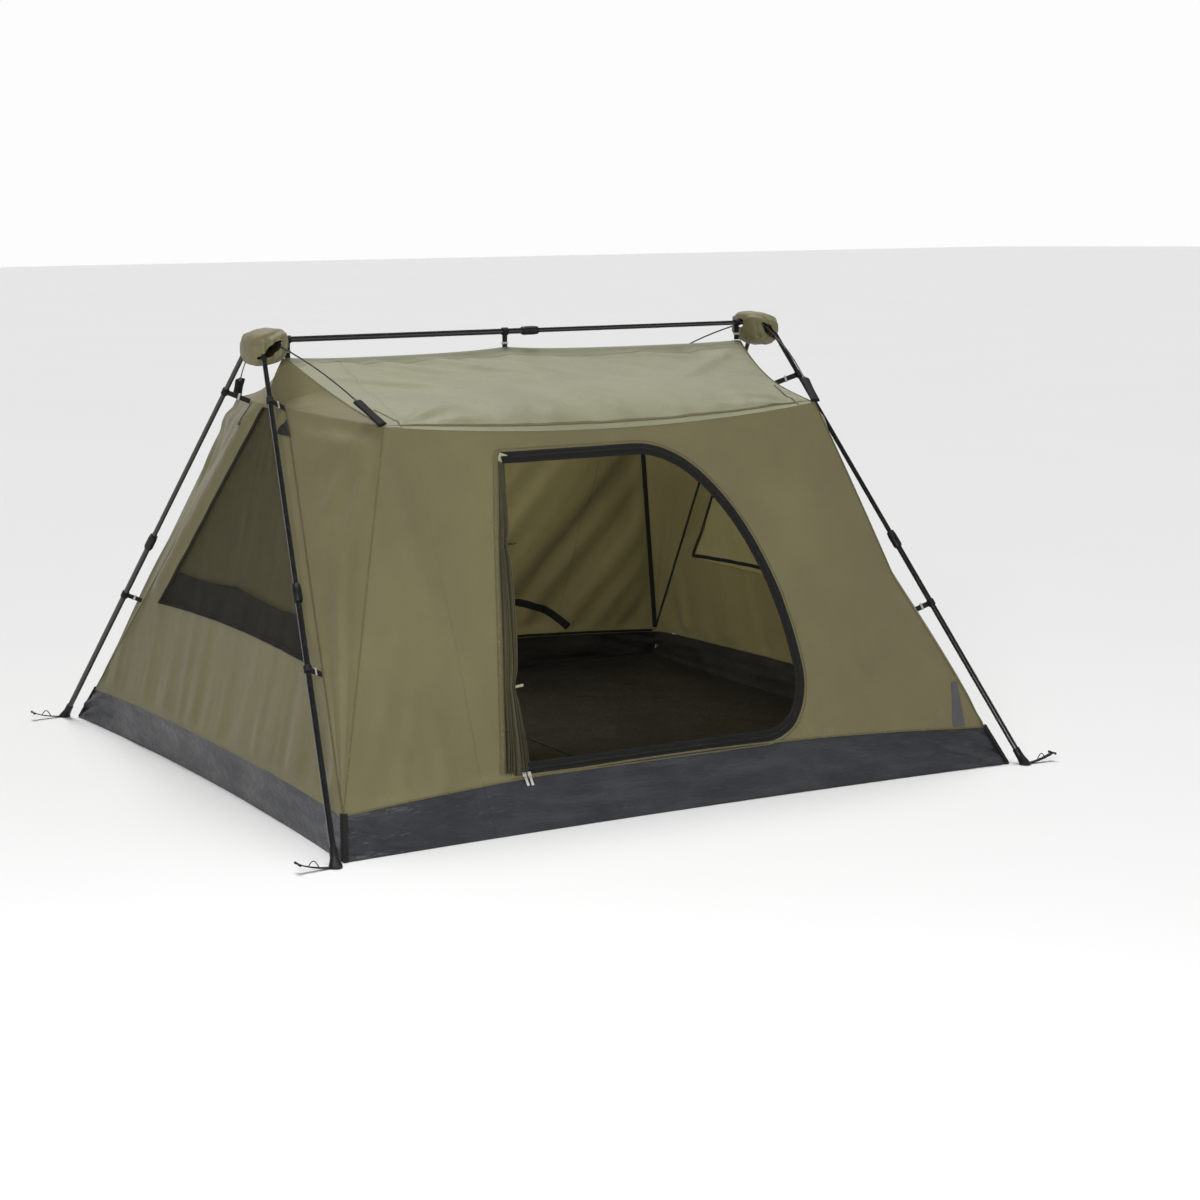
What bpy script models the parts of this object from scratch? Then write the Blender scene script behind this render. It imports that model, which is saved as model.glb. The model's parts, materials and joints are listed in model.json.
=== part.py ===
"""Frame tent with an outside telescopic frame: two hubs, a ridge pole, four legs, four eave arms, and a hung
canopy with a D-shaped door, mesh windows and a tub floor.

Metres, +Z up. +X runs along the ridge, the door is on the -Y side, and the origin is on the ground under the
middle of the ridge. side_x is -1 at the left hub and +1 at the right, side_y is -1 at the door side.
"""
import math

import bmesh
import bpy
from mathutils import Matrix, Vector

# Frame
PIVOT_Z = 1.400          # height of the leg pivots and of the ridge pole
HUB_X = 0.960            # hub centre from the tent's middle
PIVOT_Y = 0.044          # leg pivot from the ridge line
FOOT_X = 1.242           # leg tip on the ground
FOOT_Y = 1.158
INNER_RADIUS = 0.008     # thin telescope tube
OUTER_RADIUS = 0.0095    # thick telescope tube
TUBE_WALL = 0.001
TUBE_SIDES = 16
LEG_JOIN = 0.898         # pivot to the end of the thick tube, along the leg
RIDGE_JOIN_X = 0.045     # end of the thick ridge tube
TUBE_OVERLAP = 0.070     # thin tube inside the thick one
GAP = 0.0003             # between pieces that touch
SLIDE_FIT = 0.0004       # round a piece that slides or turns

# Hub
CHEEK_GAP = 0.033        # between the two cheeks that hold the legs
CHEEK_THICK = 0.004
CHEEK_HALF_Y = 0.056
CHEEK_DROP = 0.016       # below the pivots
WEB_RISE = 0.0145        # underside of the web above the pivots
WEB_THICK = 0.0035
SOCKET_LENGTH = 0.036
SOCKET_WALL = 0.003
LEG_HEAD = 0.010         # tube above its pivot

# Collar, button and foot
COLLAR_LIP = 0.010
COLLAR_LENGTH = 0.060
COLLAR_WALL = 0.005
BUTTON_RADIUS = 0.0037
BUTTON_TRAVEL = 0.0025
BUTTON_FROM_END = 0.022
FOOT_BASE_RADIUS = 0.020
FOOT_BASE_HEIGHT = 0.006
FOOT_NECK_WALL = 0.003
FOOT_SLEEVE = 0.060      # foot's reach up the leg
FOOT_SEAT = 0.022        # ground to the tube's end, along the leg

# Eave arm: a bent rod, whose hub end is also the leg's hinge pin
ARM_RADIUS = 0.0025
ARM_SIDES = 10
ARM_TAIL = 0.026         # pin beyond the hub centre, outboard
ARM_BEND = 0.030         # bend inboard of the hub centre
ARM_BOW = 0.022          # how far the rod arches over its chord
ARM_TIP_LIFT = 0.012     # tip over the shoulder

# Canopy
FABRIC = 0.002
SEAM = 0.004             # each panel stops short of its seam line
RIDGE_FABRIC_Z = PIVOT_Z - 0.063
RIDGE_FABRIC_X = HUB_X - 0.088
SHOULDER = Vector((HUB_X - 0.165, 0.567, PIVOT_Z - 0.232))
BASE = Vector((FOOT_X - 0.076, FOOT_Y - 0.113, 0.109))       # top corner of the tub
CORNER_Y_LOW = BASE.y - 0.006                     # wall line at the tub's top
NECK = Vector((HUB_X - 0.037, PIVOT_Y + 0.092, PIVOT_Z - 0.205))       # top of the seam beside the window
EAVE_SAG = 0.043
EAVE_BELLY = 0.020
ROOF_BULGE = 0.038
TUB_X = FOOT_X - 0.040          # tub's bottom corner
TUB_Y = FOOT_Y - 0.032
TUB_PULL_X = 0.040       # how far the bottom edges draw in between corners
TUB_PULL_Y = 0.030
TUB_RISE_FRONT = 0.045   # tub's top edge, higher between corners
TUB_RISE_END = 0.012

# Door, hung at its left edge
DOOR_TOP = SHOULDER.z - 0.103
DOOR_SILL = 0.165
DOOR_HINGE_TOP_X = -0.425
DOOR_HINGE_LOW_X = -0.620
DOOR_FLAT_TOP_X = 0.060  # where the top edge starts to curve
DOOR_RIGHT_X = 0.500
DOOR_WIDEST_Z = 0.370
DOOR_LOW_RADIUS = 0.190
FLAP_RADIUS = 0.030

# Windows
WINDOW_TOP = NECK.z - 0.010
WINDOW_SILL = 0.480
WINDOW_HALF_TOP = 0.035
WINDOW_HALF_SILL = 0.610
LAP = 0.012

# Rear port: a low zipped arch
PORT_X = 0.42
PORT_HALF = 0.31
PORT_LOW = 0.180
PORT_HIGH = 0.290
TAPE_WIDTH = 0.025
TAPE_THICK = 0.0015

# Straps, clips and loops
RIDGE_STRAP_X = {"left": 0.106 - HUB_X, "middle": -0.069, "right": HUB_X - 0.106}
CLIP_WIDTH = 0.020
CLIP_WALL = 0.003
STRAP_THICK = 0.002
UPPER_CLIP = 0.2245      # along the leg from its pivot
LOWER_CLIP_SHARE = 0.6488  # of the way down the leg
LOWER_CLIP_WALL_Z = PIVOT_Z * (1 - LOWER_CLIP_SHARE) - 0.0237  # where its strap meets the end wall
PEG_LOOP_REACH = 0.120
PEG_LOOP_RISE = 0.034
PEG_LOOP_WIDTH = 0.018
PEG_TOGGLE_WIDTH = 0.036

# Hub cover
COVER_HALF = Vector((0.066, 0.068, 0.0))
COVER_TOP = PIVOT_Z + WEB_RISE + WEB_THICK + 0.0105
COVER_FLAP = 0.070       # how far the outboard flap hangs under the pivots
COVER_SHIFT = 0.012      # centre inboard of the hub

FINISHES = {
    "canopy": ((0.19, 0.17, 0.095), 0.85, 0.0),
    "roof": ((0.30, 0.29, 0.20), 0.80, 0.0),
    "tub": ((0.055, 0.056, 0.062), 0.35, 0.0),
    "mesh": ((0.05, 0.045, 0.02), 0.90, 0.0),
    "webbing": ((0.018, 0.018, 0.018), 0.80, 0.0),
    "tube": ((0.014, 0.014, 0.015), 0.30, 1.0),
    "moulding": ((0.016, 0.016, 0.017), 0.45, 0.0),
    "zip": ((0.75, 0.74, 0.70), 0.35, 1.0),
}
SIDES = {"left": -1, "right": 1}
CORNERS = {"front_left": (-1, -1), "front_right": (1, -1), "back_left": (-1, 1), "back_right": (1, 1)}


# ---- building blocks -------------------------------------------------------------------------------------

def give_material(obj, finish):
    colour, roughness, metallic = FINISHES[finish]
    material = bpy.data.materials.new(obj.name)
    material.use_nodes = True
    shader = material.node_tree.nodes["Principled BSDF"]
    shader.inputs["Base Color"].default_value = (*colour, 1.0)
    shader.inputs["Roughness"].default_value = roughness
    shader.inputs["Metallic"].default_value = metallic
    obj.data.materials.append(material)


def add_object(name, bm, finish, smooth_angle=35.0, hang_on=None):
    """Makes a mesh object of bm, which is in world space; hang_on is the empty on its joint's axis."""
    bmesh.ops.recalc_face_normals(bm, faces=bm.faces)
    if hang_on is not None:
        bm.transform(hang_on.matrix_world.inverted())
    mesh = bpy.data.meshes.new(name)
    bm.to_mesh(mesh)
    bm.free()
    mesh.shade_smooth()
    mesh.set_sharp_from_angle(angle=math.radians(smooth_angle))
    obj = bpy.data.objects.new(name, mesh)
    bpy.context.collection.objects.link(obj)
    obj.parent = hang_on
    give_material(obj, finish)
    return obj


def add_empty(name, matrix):
    empty = bpy.data.objects.new(name, None)
    empty.empty_display_size = 0.05
    bpy.context.collection.objects.link(empty)
    empty.matrix_world = matrix
    bpy.context.view_layer.update()
    return empty


def cut(obj, bm, name):
    """Cuts the closed shape bm, in world space, out of obj."""
    combine(obj, bm, name, "DIFFERENCE")


def combine(obj, bm, name, operation):
    bmesh.ops.recalc_face_normals(bm, faces=bm.faces)
    mesh = bpy.data.meshes.new(name)
    bm.to_mesh(mesh)
    bm.free()
    cutter = bpy.data.objects.new(name, mesh)
    bpy.context.collection.objects.link(cutter)
    cutter.hide_render = True
    cutter.display_type = "WIRE"
    modifier = obj.modifiers.new(name, "BOOLEAN")
    modifier.operation = operation
    modifier.solver = "EXACT"
    modifier.object = cutter


def frame_along(origin, direction, side=Vector((1, 0, 0))):
    """Matrix at origin whose Z axis is direction and whose X axis leans towards side."""
    z = direction.normalized()
    x = (side - side.dot(z) * z).normalized()
    y = z.cross(x)
    matrix = Matrix((x, y, z)).transposed().to_4x4()
    matrix.translation = origin
    return matrix


def ring(bm, matrix, radius, height, sides=TUBE_SIDES):
    """A circle of vertices round the Z axis of matrix, with a flat side towards X and Y."""
    points = []
    for k in range(sides):
        angle = math.tau * (k + 0.5) / sides
        points.append(bm.verts.new(matrix @ Vector((radius * math.cos(angle), radius * math.sin(angle), height))))
    return points


def join_rings(bm, rings, closed=False):
    pairs = list(zip(rings, rings[1:]))
    if closed:
        pairs.append((rings[-1], rings[0]))
    for low, high in pairs:
        for k in range(len(low)):
            bm.faces.new((low[k - 1], low[k], high[k], high[k - 1]))


def turned(profile, matrix, sides=TUBE_SIDES, ring_shaped=True):
    """Turns (radius, height) points round the Z axis of matrix. A solid of revolution with no bore is capped."""
    bm = bmesh.new()
    rings = [ring(bm, matrix, radius, height, sides) for radius, height in profile]
    join_rings(bm, rings, closed=ring_shaped)
    if not ring_shaped:
        bm.faces.new(rings[0])
        bm.faces.new(rings[-1])
    return bm


def pipe(matrix, start, end, radius):
    """An open tube along the Z axis of matrix."""
    bore = radius - TUBE_WALL
    return turned([(radius, start), (radius, end), (bore, end), (bore, start)], matrix)


def rod(matrix, start, end, radius, sides=TUBE_SIDES):
    return turned([(radius, start), (radius, end)], matrix, sides, ring_shaped=False)


def box(matrix, low, high):
    bm = bmesh.new()
    bmesh.ops.create_cube(bm, size=1.0)
    size = Vector(high) - Vector(low)
    bmesh.ops.scale(bm, vec=size, verts=bm.verts)
    bmesh.ops.translate(bm, vec=(Vector(high) + Vector(low)) / 2, verts=bm.verts)
    bm.transform(matrix)
    return bm


def swept(points, radii, sides, across=None):
    """A closed rod through points, with a radius at each, or for a ribbon its half sizes along across and up."""
    bm = bmesh.new()
    rings = []
    for k, point in enumerate(points):
        ahead = points[min(k + 1, len(points) - 1)] - points[max(k - 1, 0)]
        tangent = ahead.normalized()
        if across is None:
            across = Vector((0, 1, 0)) if abs(tangent.y) < 0.9 else Vector((1, 0, 0))
        across = (across - across.dot(tangent) * tangent).normalized()
        up = tangent.cross(across)
        wide, thick = radii[k] if isinstance(radii[k], tuple) else (radii[k], radii[k])
        loop = []
        for n in range(sides):
            angle = math.tau * (n + 0.5) / sides
            reach = 1 / math.cos(math.pi / 4) if sides == 4 else 1.0
            offset = across * wide * math.cos(angle) * reach + up * thick * math.sin(angle) * reach
            loop.append(bm.verts.new(point + offset))
        rings.append(loop)
    join_rings(bm, rings)
    bm.faces.new(rings[0])
    bm.faces.new(rings[-1])
    return bm


def panel(name, rows, finish, inwards, **options):
    """A sewn panel: a sheet through rows of points, thickened towards the point inwards."""
    bm = bmesh.new()
    grid = [[bm.verts.new(point) for point in row] for row in rows]
    join_panel_rows(bm, grid)
    bm.normal_update()
    bm.faces.ensure_lookup_table()
    middle = bm.faces[len(bm.faces) // 2]
    if middle.normal.dot(Vector(inwards) - middle.calc_center_median()) > 0:
        bmesh.ops.reverse_faces(bm, faces=bm.faces)
    return thicken(name, bm, finish, **options)


def join_panel_rows(bm, grid):
    for low, high in zip(grid, grid[1:]):
        for k in range(len(low) - 1):
            bm.faces.new((low[k], low[k + 1], high[k + 1], high[k]))


def thicken(name, bm, finish, thickness=FABRIC):
    """Gives an open sheet its thickness on its back, and makes its object."""
    mesh = bpy.data.meshes.new(name)
    bm.to_mesh(mesh)
    bm.free()
    obj = bpy.data.objects.new(name, mesh)
    bpy.context.collection.objects.link(obj)
    solidify = obj.modifiers.new("Thickness", "SOLIDIFY")
    solidify.thickness = thickness
    solidify.offset = -1.0
    solidify.use_even_offset = True
    give_material(obj, finish)
    return obj


def steps(count):
    return [k / count for k in range(count + 1)]


# ---- shared geometry of the canopy -----------------------------------------------------------------------

def wall_y(z):
    """Half depth of the tent at the front and back walls, which lean in towards the eaves."""
    return SHOULDER.y + (SHOULDER.z - z) * (CORNER_Y_LOW - SHOULDER.y) / (SHOULDER.z - BASE.z)


def wall_normal(side_y):
    """Outward normal of the front or back wall."""
    return Vector((0, side_y * (SHOULDER.z - BASE.z), CORNER_Y_LOW - SHOULDER.y)).normalized()


def corner_x(z):
    """Half length of the tent at the corner seams."""
    return SHOULDER.x + (SHOULDER.z - z) * (BASE.x - SHOULDER.x) / (SHOULDER.z - BASE.z)


def end_x(z):
    """Half length of the tent at the middle of the end walls."""
    return BASE.x - (z - BASE.z) * (BASE.x - NECK.x) / (NECK.z - BASE.z)


def window_seam_y(z):
    return NECK.y + (NECK.z - z) * (BASE.y - NECK.y) / (NECK.z - BASE.z)


def arch(share):
    """1 in the middle and 0 at both ends, for share from -1 to 1."""
    return 1 - share * share


def eave(share):
    """Seam between roof and wall, at a share of the half length."""
    bend = arch(share)
    return Vector((share * SHOULDER.x, SHOULDER.y + EAVE_BELLY * bend, SHOULDER.z - EAVE_SAG * bend))


def leg_frame(side_x, side_y):
    """Frame at the leg's pivot, Z down along the leg, with the leg's length."""
    pivot = Vector((side_x * HUB_X, side_y * PIVOT_Y, PIVOT_Z))
    ground = Vector((side_x * FOOT_X, side_y * FOOT_Y, 0))
    return frame_along(pivot, ground - pivot), (ground - pivot).length


def ridge_frame(side_x):
    """Frame on the ridge line with Z along the pole, away from the hub of side_x."""
    return frame_along(Vector((0, 0, PIVOT_Z)), Vector((-side_x, 0, 0)), Vector((0, 1, 0)))


# ---- frame -----------------------------------------------------------------------------------------------

def add_hub(name, side_x, pole_radius):
    """A channel of two cheeks and a web, open downwards, with a socket for the ridge pole."""
    half = CHEEK_GAP / 2 + CHEEK_THICK
    middle = Matrix.Translation((side_x * HUB_X, 0, PIVOT_Z))
    top = WEB_RISE + WEB_THICK
    bm = box(middle, (-half, -CHEEK_HALF_Y, -CHEEK_DROP), (half, CHEEK_HALF_Y, top))
    hub = add_object(name, bm, "moulding")
    channel = box(middle, (-CHEEK_GAP / 2, -1.5 * CHEEK_HALF_Y, -2 * CHEEK_DROP),
                  (CHEEK_GAP / 2, 1.5 * CHEEK_HALF_Y, WEB_RISE))
    cut(hub, channel, name + "_channel")
    socket = frame_along(Vector((side_x * (HUB_X - half + CHEEK_THICK / 2), 0, PIVOT_Z)),
                         Vector((-side_x, 0, 0)), Vector((0, 1, 0)))
    bore = pole_radius + SLIDE_FIT
    combine(hub, rod(socket, 0, SOCKET_LENGTH, bore + SOCKET_WALL), name + "_socket", "UNION")
    cut(hub, rod(socket, CHEEK_THICK / 2, SOCKET_LENGTH * 2, bore), name + "_bore")
    for side_y in (-1, 1):
        pin = frame_along(Vector((side_x * HUB_X, side_y * PIVOT_Y, PIVOT_Z)), Vector((1, 0, 0)), Vector((0, 1, 0)))
        cut(hub, rod(pin, -2 * half, 2 * half, ARM_RADIUS + SLIDE_FIT, ARM_SIDES), f"{name}_pin_hole_{side_y}")
    return hub


def add_collar(name, matrix, hang_on, outwards):
    """Lock collar over the thick tube's end, which is at the origin of matrix, with a hole for its button."""
    seat = OUTER_RADIUS + GAP
    bore = INNER_RADIUS + SLIDE_FIT
    rim = seat + COLLAR_WALL * 0.6
    body = seat + COLLAR_WALL
    tail = COLLAR_LENGTH - COLLAR_LIP
    profile = [(seat, tail), (rim, tail), (body, tail * 0.85), (body, tail * 0.1), (rim, -COLLAR_LIP),
               (bore, -COLLAR_LIP), (bore, -GAP), (seat, -GAP)]
    collar = add_object(name, turned(profile, matrix), "moulding", hang_on=hang_on)
    hole = frame_along(matrix @ Vector((0, 0, BUTTON_FROM_END)), outwards, matrix.to_3x3() @ Vector((0, 0, 1)))
    cut(collar, rod(hole, OUTER_RADIUS + GAP, 2 * body, BUTTON_RADIUS + SLIDE_FIT, 12), name + "_button_hole")
    return hole, body


def add_button(name, hole, collar_radius, hang_on):
    low = OUTER_RADIUS + 2 * GAP + BUTTON_TRAVEL
    add_object(name, rod(hole, low, collar_radius + BUTTON_TRAVEL, BUTTON_RADIUS, 12), "moulding", hang_on=hang_on)


def add_leg(corner, side_x, side_y):
    matrix, length = leg_frame(side_x, side_y)
    pivot = add_empty("leg_pivot_" + corner, matrix)
    upper_end = LEG_JOIN + TUBE_OVERLAP
    upper = add_object("leg_upper_" + corner, pipe(matrix, -LEG_HEAD, upper_end, INNER_RADIUS), "tube",
                       hang_on=pivot)
    pin = frame_along(matrix.translation, Vector((1, 0, 0)), Vector((0, 1, 0)))
    pin_hole = rod(pin, -3 * INNER_RADIUS, 3 * INNER_RADIUS, ARM_RADIUS + SLIDE_FIT, ARM_SIDES)
    cut(upper, pin_hole, f"leg_upper_{corner}_pin_hole")
    add_object("leg_lower_" + corner, pipe(matrix, LEG_JOIN, length - FOOT_SEAT, OUTER_RADIUS), "tube",
               hang_on=pivot)
    down = matrix.to_3x3() @ Vector((0, 0, 1))
    outwards = Vector((0, side_y, 0)) - down * (down.y * side_y)
    end = matrix @ Matrix.Translation((0, 0, LEG_JOIN))
    hole, collar_radius = add_collar("leg_collar_" + corner, end, pivot, outwards)
    add_button("leg_button_" + corner, hole, collar_radius, pivot)
    add_foot("foot_" + corner, matrix, length, side_x, side_y, pivot)


def add_foot(name, matrix, length, side_x, side_y, hang_on):
    """A boot: a flat round base on the ground, and a sleeve that holds the tube's end."""
    level = Matrix.Translation((side_x * FOOT_X, side_y * FOOT_Y, 0))
    seat = OUTER_RADIUS + GAP
    neck = seat + FOOT_NECK_WALL
    bm = bmesh.new()
    outline = [ring(bm, level, FOOT_BASE_RADIUS, 0), ring(bm, level, FOOT_BASE_RADIUS, FOOT_BASE_HEIGHT)]
    sleeve = [(neck, length - FOOT_SLEEVE / 2), (neck * 0.94, length - FOOT_SLEEVE), (seat, length - FOOT_SLEEVE),
              (seat, length - FOOT_SEAT + GAP)]
    outline += [mirrored_ring(bm, matrix, radius, height) for radius, height in sleeve]
    join_rings(bm, outline)
    bm.faces.new(outline[0])
    bm.faces.new(outline[-1])
    add_object(name, bm, "moulding", hang_on=hang_on)


def mirrored_ring(bm, matrix, radius, height):
    """A circle round the Z axis of matrix that runs the way a level one does, seen from above."""
    points = []
    for k in range(TUBE_SIDES):
        angle = -math.tau * (k + 0.5) / TUBE_SIDES
        points.append(bm.verts.new(matrix @ Vector((radius * math.cos(angle), radius * math.sin(angle), height))))
    return points


def add_arm(name, side_x, side_y):
    """Bent rod: pin through the hub and the leg's head, then an arching reach to the shoulder of the canopy."""
    pivot = Vector((HUB_X, PIVOT_Y, PIVOT_Z))
    tip = SHOULDER + Vector((0.003, -0.007, ARM_TIP_LIFT))
    root = pivot - Vector((ARM_BEND, 0, 0))
    path = [pivot + Vector((ARM_TAIL, 0, 0)), pivot, root + Vector((0.006, 0, 0)), root + Vector((0.001, 0.002, 0)),
            root + Vector((-0.001, 0.008, -0.001))]
    for share in steps(10)[1:]:
        lift = Vector((0.2, 0.3, 1.0)) * ARM_BOW * math.sin(math.pi * share)
        path.append(root.lerp(tip, share) + lift)
    flip = Vector((side_x, side_y, 1))
    path = [point * flip for point in path]
    hinge = add_empty(name + "_pivot", Matrix.Translation(pivot * flip))
    add_object(name, swept(path, [ARM_RADIUS] * len(path), ARM_SIDES), "tube", hang_on=hinge)


def add_ridge():
    half = CHEEK_GAP / 2 + CHEEK_THICK
    end = HUB_X - half - GAP
    left, right = ridge_frame(-1), ridge_frame(1)
    add_object("ridge_tube_outer", pipe(left, -end, RIDGE_JOIN_X, OUTER_RADIUS), "tube")
    add_object("ridge_tube_inner", pipe(right, -end, TUBE_OVERLAP - RIDGE_JOIN_X, INNER_RADIUS), "tube")
    join = right @ Matrix.Translation((0, 0, -RIDGE_JOIN_X))
    hole, radius = add_collar("ridge_collar", join, None, Vector((0, -1, 0)))
    add_button("ridge_button", hole, radius, None)


# ---- straps, clips and loops -----------------------------------------------------------------------------

def add_clip(name, matrix, tube_radius, tail_end, hang_on=None):
    """A ring round a tube, centred on the Z axis of matrix, with a strap that reaches to tail_end."""
    bore = tube_radius + SLIDE_FIT
    outer = bore + CLIP_WALL
    half = CLIP_WIDTH / 2
    bm = turned([(outer, -half), (outer, half), (bore, half), (bore, -half)], matrix)
    clip = add_object(name, bm, "webbing", hang_on=hang_on)
    reach = tail_end - matrix.translation
    along = matrix.to_3x3() @ Vector((0, 0, 1))
    start = matrix.translation + reach.normalized() * (bore + CLIP_WALL / 2)
    strap = frame_along(start, tail_end - start, along)
    length = (tail_end - start).length
    combine(clip, box(strap, (-half * 0.9, -STRAP_THICK / 2, 0), (half * 0.9, STRAP_THICK / 2, length)),
            name + "_strap", "UNION")
    combine(clip, rod(matrix, -2 * half, 2 * half, bore - SLIDE_FIT / 4), name + "_bore", "DIFFERENCE")


def add_ridge_straps():
    for place, x in RIDGE_STRAP_X.items():
        radius = OUTER_RADIUS if x < RIDGE_JOIN_X else INNER_RADIUS
        matrix = frame_along(Vector((x, 0, PIVOT_Z)), Vector((1, 0, 0)), Vector((0, 1, 0)))
        add_clip("ridge_strap_" + place, matrix, radius, Vector((x, 0, RIDGE_FABRIC_Z + 2 * FABRIC)))


def add_leg_clips(corner, side_x, side_y):
    matrix, _ = leg_frame(side_x, side_y)
    flip = Vector((side_x, side_y, 1))
    hang_on = bpy.data.objects["leg_pivot_" + corner]
    low_z = LOWER_CLIP_WALL_Z
    lower_clip = LOWER_CLIP_SHARE * math.dist((HUB_X, PIVOT_Y, PIVOT_Z), (FOOT_X, FOOT_Y, 0))
    ends = {
        "clip_upper_": (UPPER_CLIP, INNER_RADIUS, NECK + Vector((FABRIC * 2, FABRIC * 2, 0))),
        "clip_lower_": (lower_clip, OUTER_RADIUS,
                        Vector((end_x(low_z) + 2 * FABRIC, window_seam_y(low_z) + 2 * FABRIC, low_z))),
    }
    for prefix, (distance, radius, end) in ends.items():
        place = matrix @ Matrix.Translation((0, 0, distance))
        add_clip(prefix + corner, place, radius, end * flip, hang_on)


def add_peg_loop(corner, side_x, side_y):
    """Webbing tab from the foot outwards, ending in a wider toggle."""
    start = Vector((FOOT_X + FOOT_BASE_RADIUS + 2 * GAP, FOOT_Y, FOOT_BASE_HEIGHT / 2))
    half = PEG_LOOP_WIDTH / 2
    shape = [(0.0, 0.0, half), (0.25, 0.12, half), (0.5, 0.35, half), (0.8, 0.75, half),
             (0.84, 0.80, PEG_TOGGLE_WIDTH / 2), (1.0, 1.0, PEG_TOGGLE_WIDTH / 2)]
    reach = PEG_LOOP_REACH - FOOT_BASE_RADIUS
    points = []
    widths = []
    for run, rise, width in shape:
        point = start + Vector((run * reach, 0, rise * PEG_LOOP_RISE))
        points.append(point * Vector((side_x, side_y, 1)))
        widths.append((width, STRAP_THICK / 2))
    add_object("peg_loop_" + corner, swept(points, widths, 4), "webbing",
               hang_on=bpy.data.objects["leg_pivot_" + corner])


def add_hub_cover(name, side_x):
    """Fabric cap over the hub, cut high where the legs, arms and pole come out and hanging low outboard."""
    centre = Vector((side_x * (HUB_X - COVER_SHIFT), 0, 0))
    rim_high = PIVOT_Z + OUTER_RADIUS + SOCKET_WALL + 3 * GAP
    rim_low = PIVOT_Z - COVER_FLAP
    sides = 24
    bm = bmesh.new()
    rows = []
    for share in steps(5):
        row = []
        for k in range(sides):
            angle = math.tau * k / sides
            spread = min(1.0, 0.35 + 1.3 * share)
            outboard = max(0.0, math.cos(angle)) ** 4
            rim = rim_high + (rim_low - rim_high) * outboard
            z = COVER_TOP + (rim - COVER_TOP) * share ** 2
            x = side_x * COVER_HALF.x * math.cos(angle) * spread
            row.append(bm.verts.new(centre + Vector((x, COVER_HALF.y * math.sin(angle) * spread, z))))
        rows.append(row)
    join_rings(bm, rows)
    bm.faces.new(rows[0])
    bmesh.ops.recalc_face_normals(bm, faces=bm.faces)
    bm.normal_update()
    top = max(bm.faces, key=lambda face: face.calc_center_median().z)
    if top.normal.z < 0:
        bmesh.ops.reverse_faces(bm, faces=bm.faces)
    thicken(name, bm, "canopy", thickness=FABRIC)


# ---- canopy ----------------------------------------------------------------------------------------------

def add_roof():
    """One sheet from the back eave seam over the ridge to the front one."""
    rows = []
    for share_x in [2 * k - 1 for k in steps(16)]:
        row = []
        for share_y in [2 * k - 1 for k in steps(16)]:
            across = abs(share_y)
            seam = eave(share_x)
            ridge = Vector((share_x * RIDGE_FABRIC_X, 0, RIDGE_FABRIC_Z))
            bulge = ROOF_BULGE * 9.48 * across ** 3 * (1 - across) * arch(share_x)
            point = ridge.lerp(seam, across) + Vector((0, 0, bulge))
            point.x -= SEAM * share_x
            row.append(point * Vector((1, -1 if share_y < 0 else 1, 1)))
        rows.append(row)
    panel("roof", rows, "roof", (0, 0, 0.6))


def tub_top(share):
    return BASE.z + TUB_RISE_FRONT * arch(share)


def add_long_wall(name, side_y):
    """Front or back wall: flat and leaning, between the tub's top edge and the eave seam."""
    rows = []
    for rise in steps(6):
        row = []
        for share in [2 * k - 1 for k in steps(16)]:
            low_z = tub_top(share) + SEAM
            high_z = eave(share).z - 2 * SEAM
            z = low_z + (high_z - low_z) * rise
            x = share * (corner_x(z) - SEAM)
            row.append(Vector((x, side_y * wall_y(z), z)))
        rows.append(row)
    return panel(name, rows, "canopy", (0, 0, 0.6))


def door_outline():
    """The door's opening as (x, z): slanting hinge edge, flat top, round nose and a rounded low corner."""
    points = [(DOOR_HINGE_LOW_X, DOOR_SILL), (DOOR_HINGE_TOP_X, DOOR_TOP), (DOOR_FLAT_TOP_X, DOOR_TOP)]
    reach = DOOR_RIGHT_X - DOOR_FLAT_TOP_X
    for share in steps(12)[1:]:
        angle = math.pi / 2 * share
        points.append((DOOR_FLAT_TOP_X + reach * math.sin(angle),
                       DOOR_WIDEST_Z + (DOOR_TOP - DOOR_WIDEST_Z) * math.cos(angle)))
    drop = DOOR_WIDEST_Z - DOOR_SILL
    for share in steps(6)[1:]:
        angle = math.pi / 2 * share
        points.append((DOOR_RIGHT_X - DOOR_LOW_RADIUS * (1 - math.cos(angle)),
                       DOOR_WIDEST_Z - drop * math.sin(angle)))
    return points


def add_front_wall():
    wall = add_long_wall("front_wall", -1)
    bm = bmesh.new()
    near = [bm.verts.new((x, -1.5, z)) for x, z in door_outline()]
    far = [bm.verts.new((x, -0.2, z)) for x, z in door_outline()]
    join_rings(bm, [near, far])
    bm.faces.new(near)
    bm.faces.new(far)
    cut(wall, bm, "door_opening")


def add_door_flap():
    """The door, gathered and tied back along its hinge edge, behind the wall."""
    points = []
    radii = []
    for share in steps(8):
        z = DOOR_SILL + 0.02 + (DOOR_TOP - DOOR_SILL - 0.05) * share
        x = DOOR_HINGE_LOW_X + (DOOR_HINGE_TOP_X - DOOR_HINGE_LOW_X) * (z - DOOR_SILL) / (DOOR_TOP - DOOR_SILL)
        pinch = 0.75 + 0.25 * math.cos(4 * math.pi * share)
        radii.append(FLAP_RADIUS * pinch)
        points.append(Vector((x + FLAP_RADIUS, -wall_y(z) + FLAP_RADIUS * 1.25 + 2 * FABRIC, z)))
    add_object("door_flap", swept(points, radii, 10), "canopy", smooth_angle=80)


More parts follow.
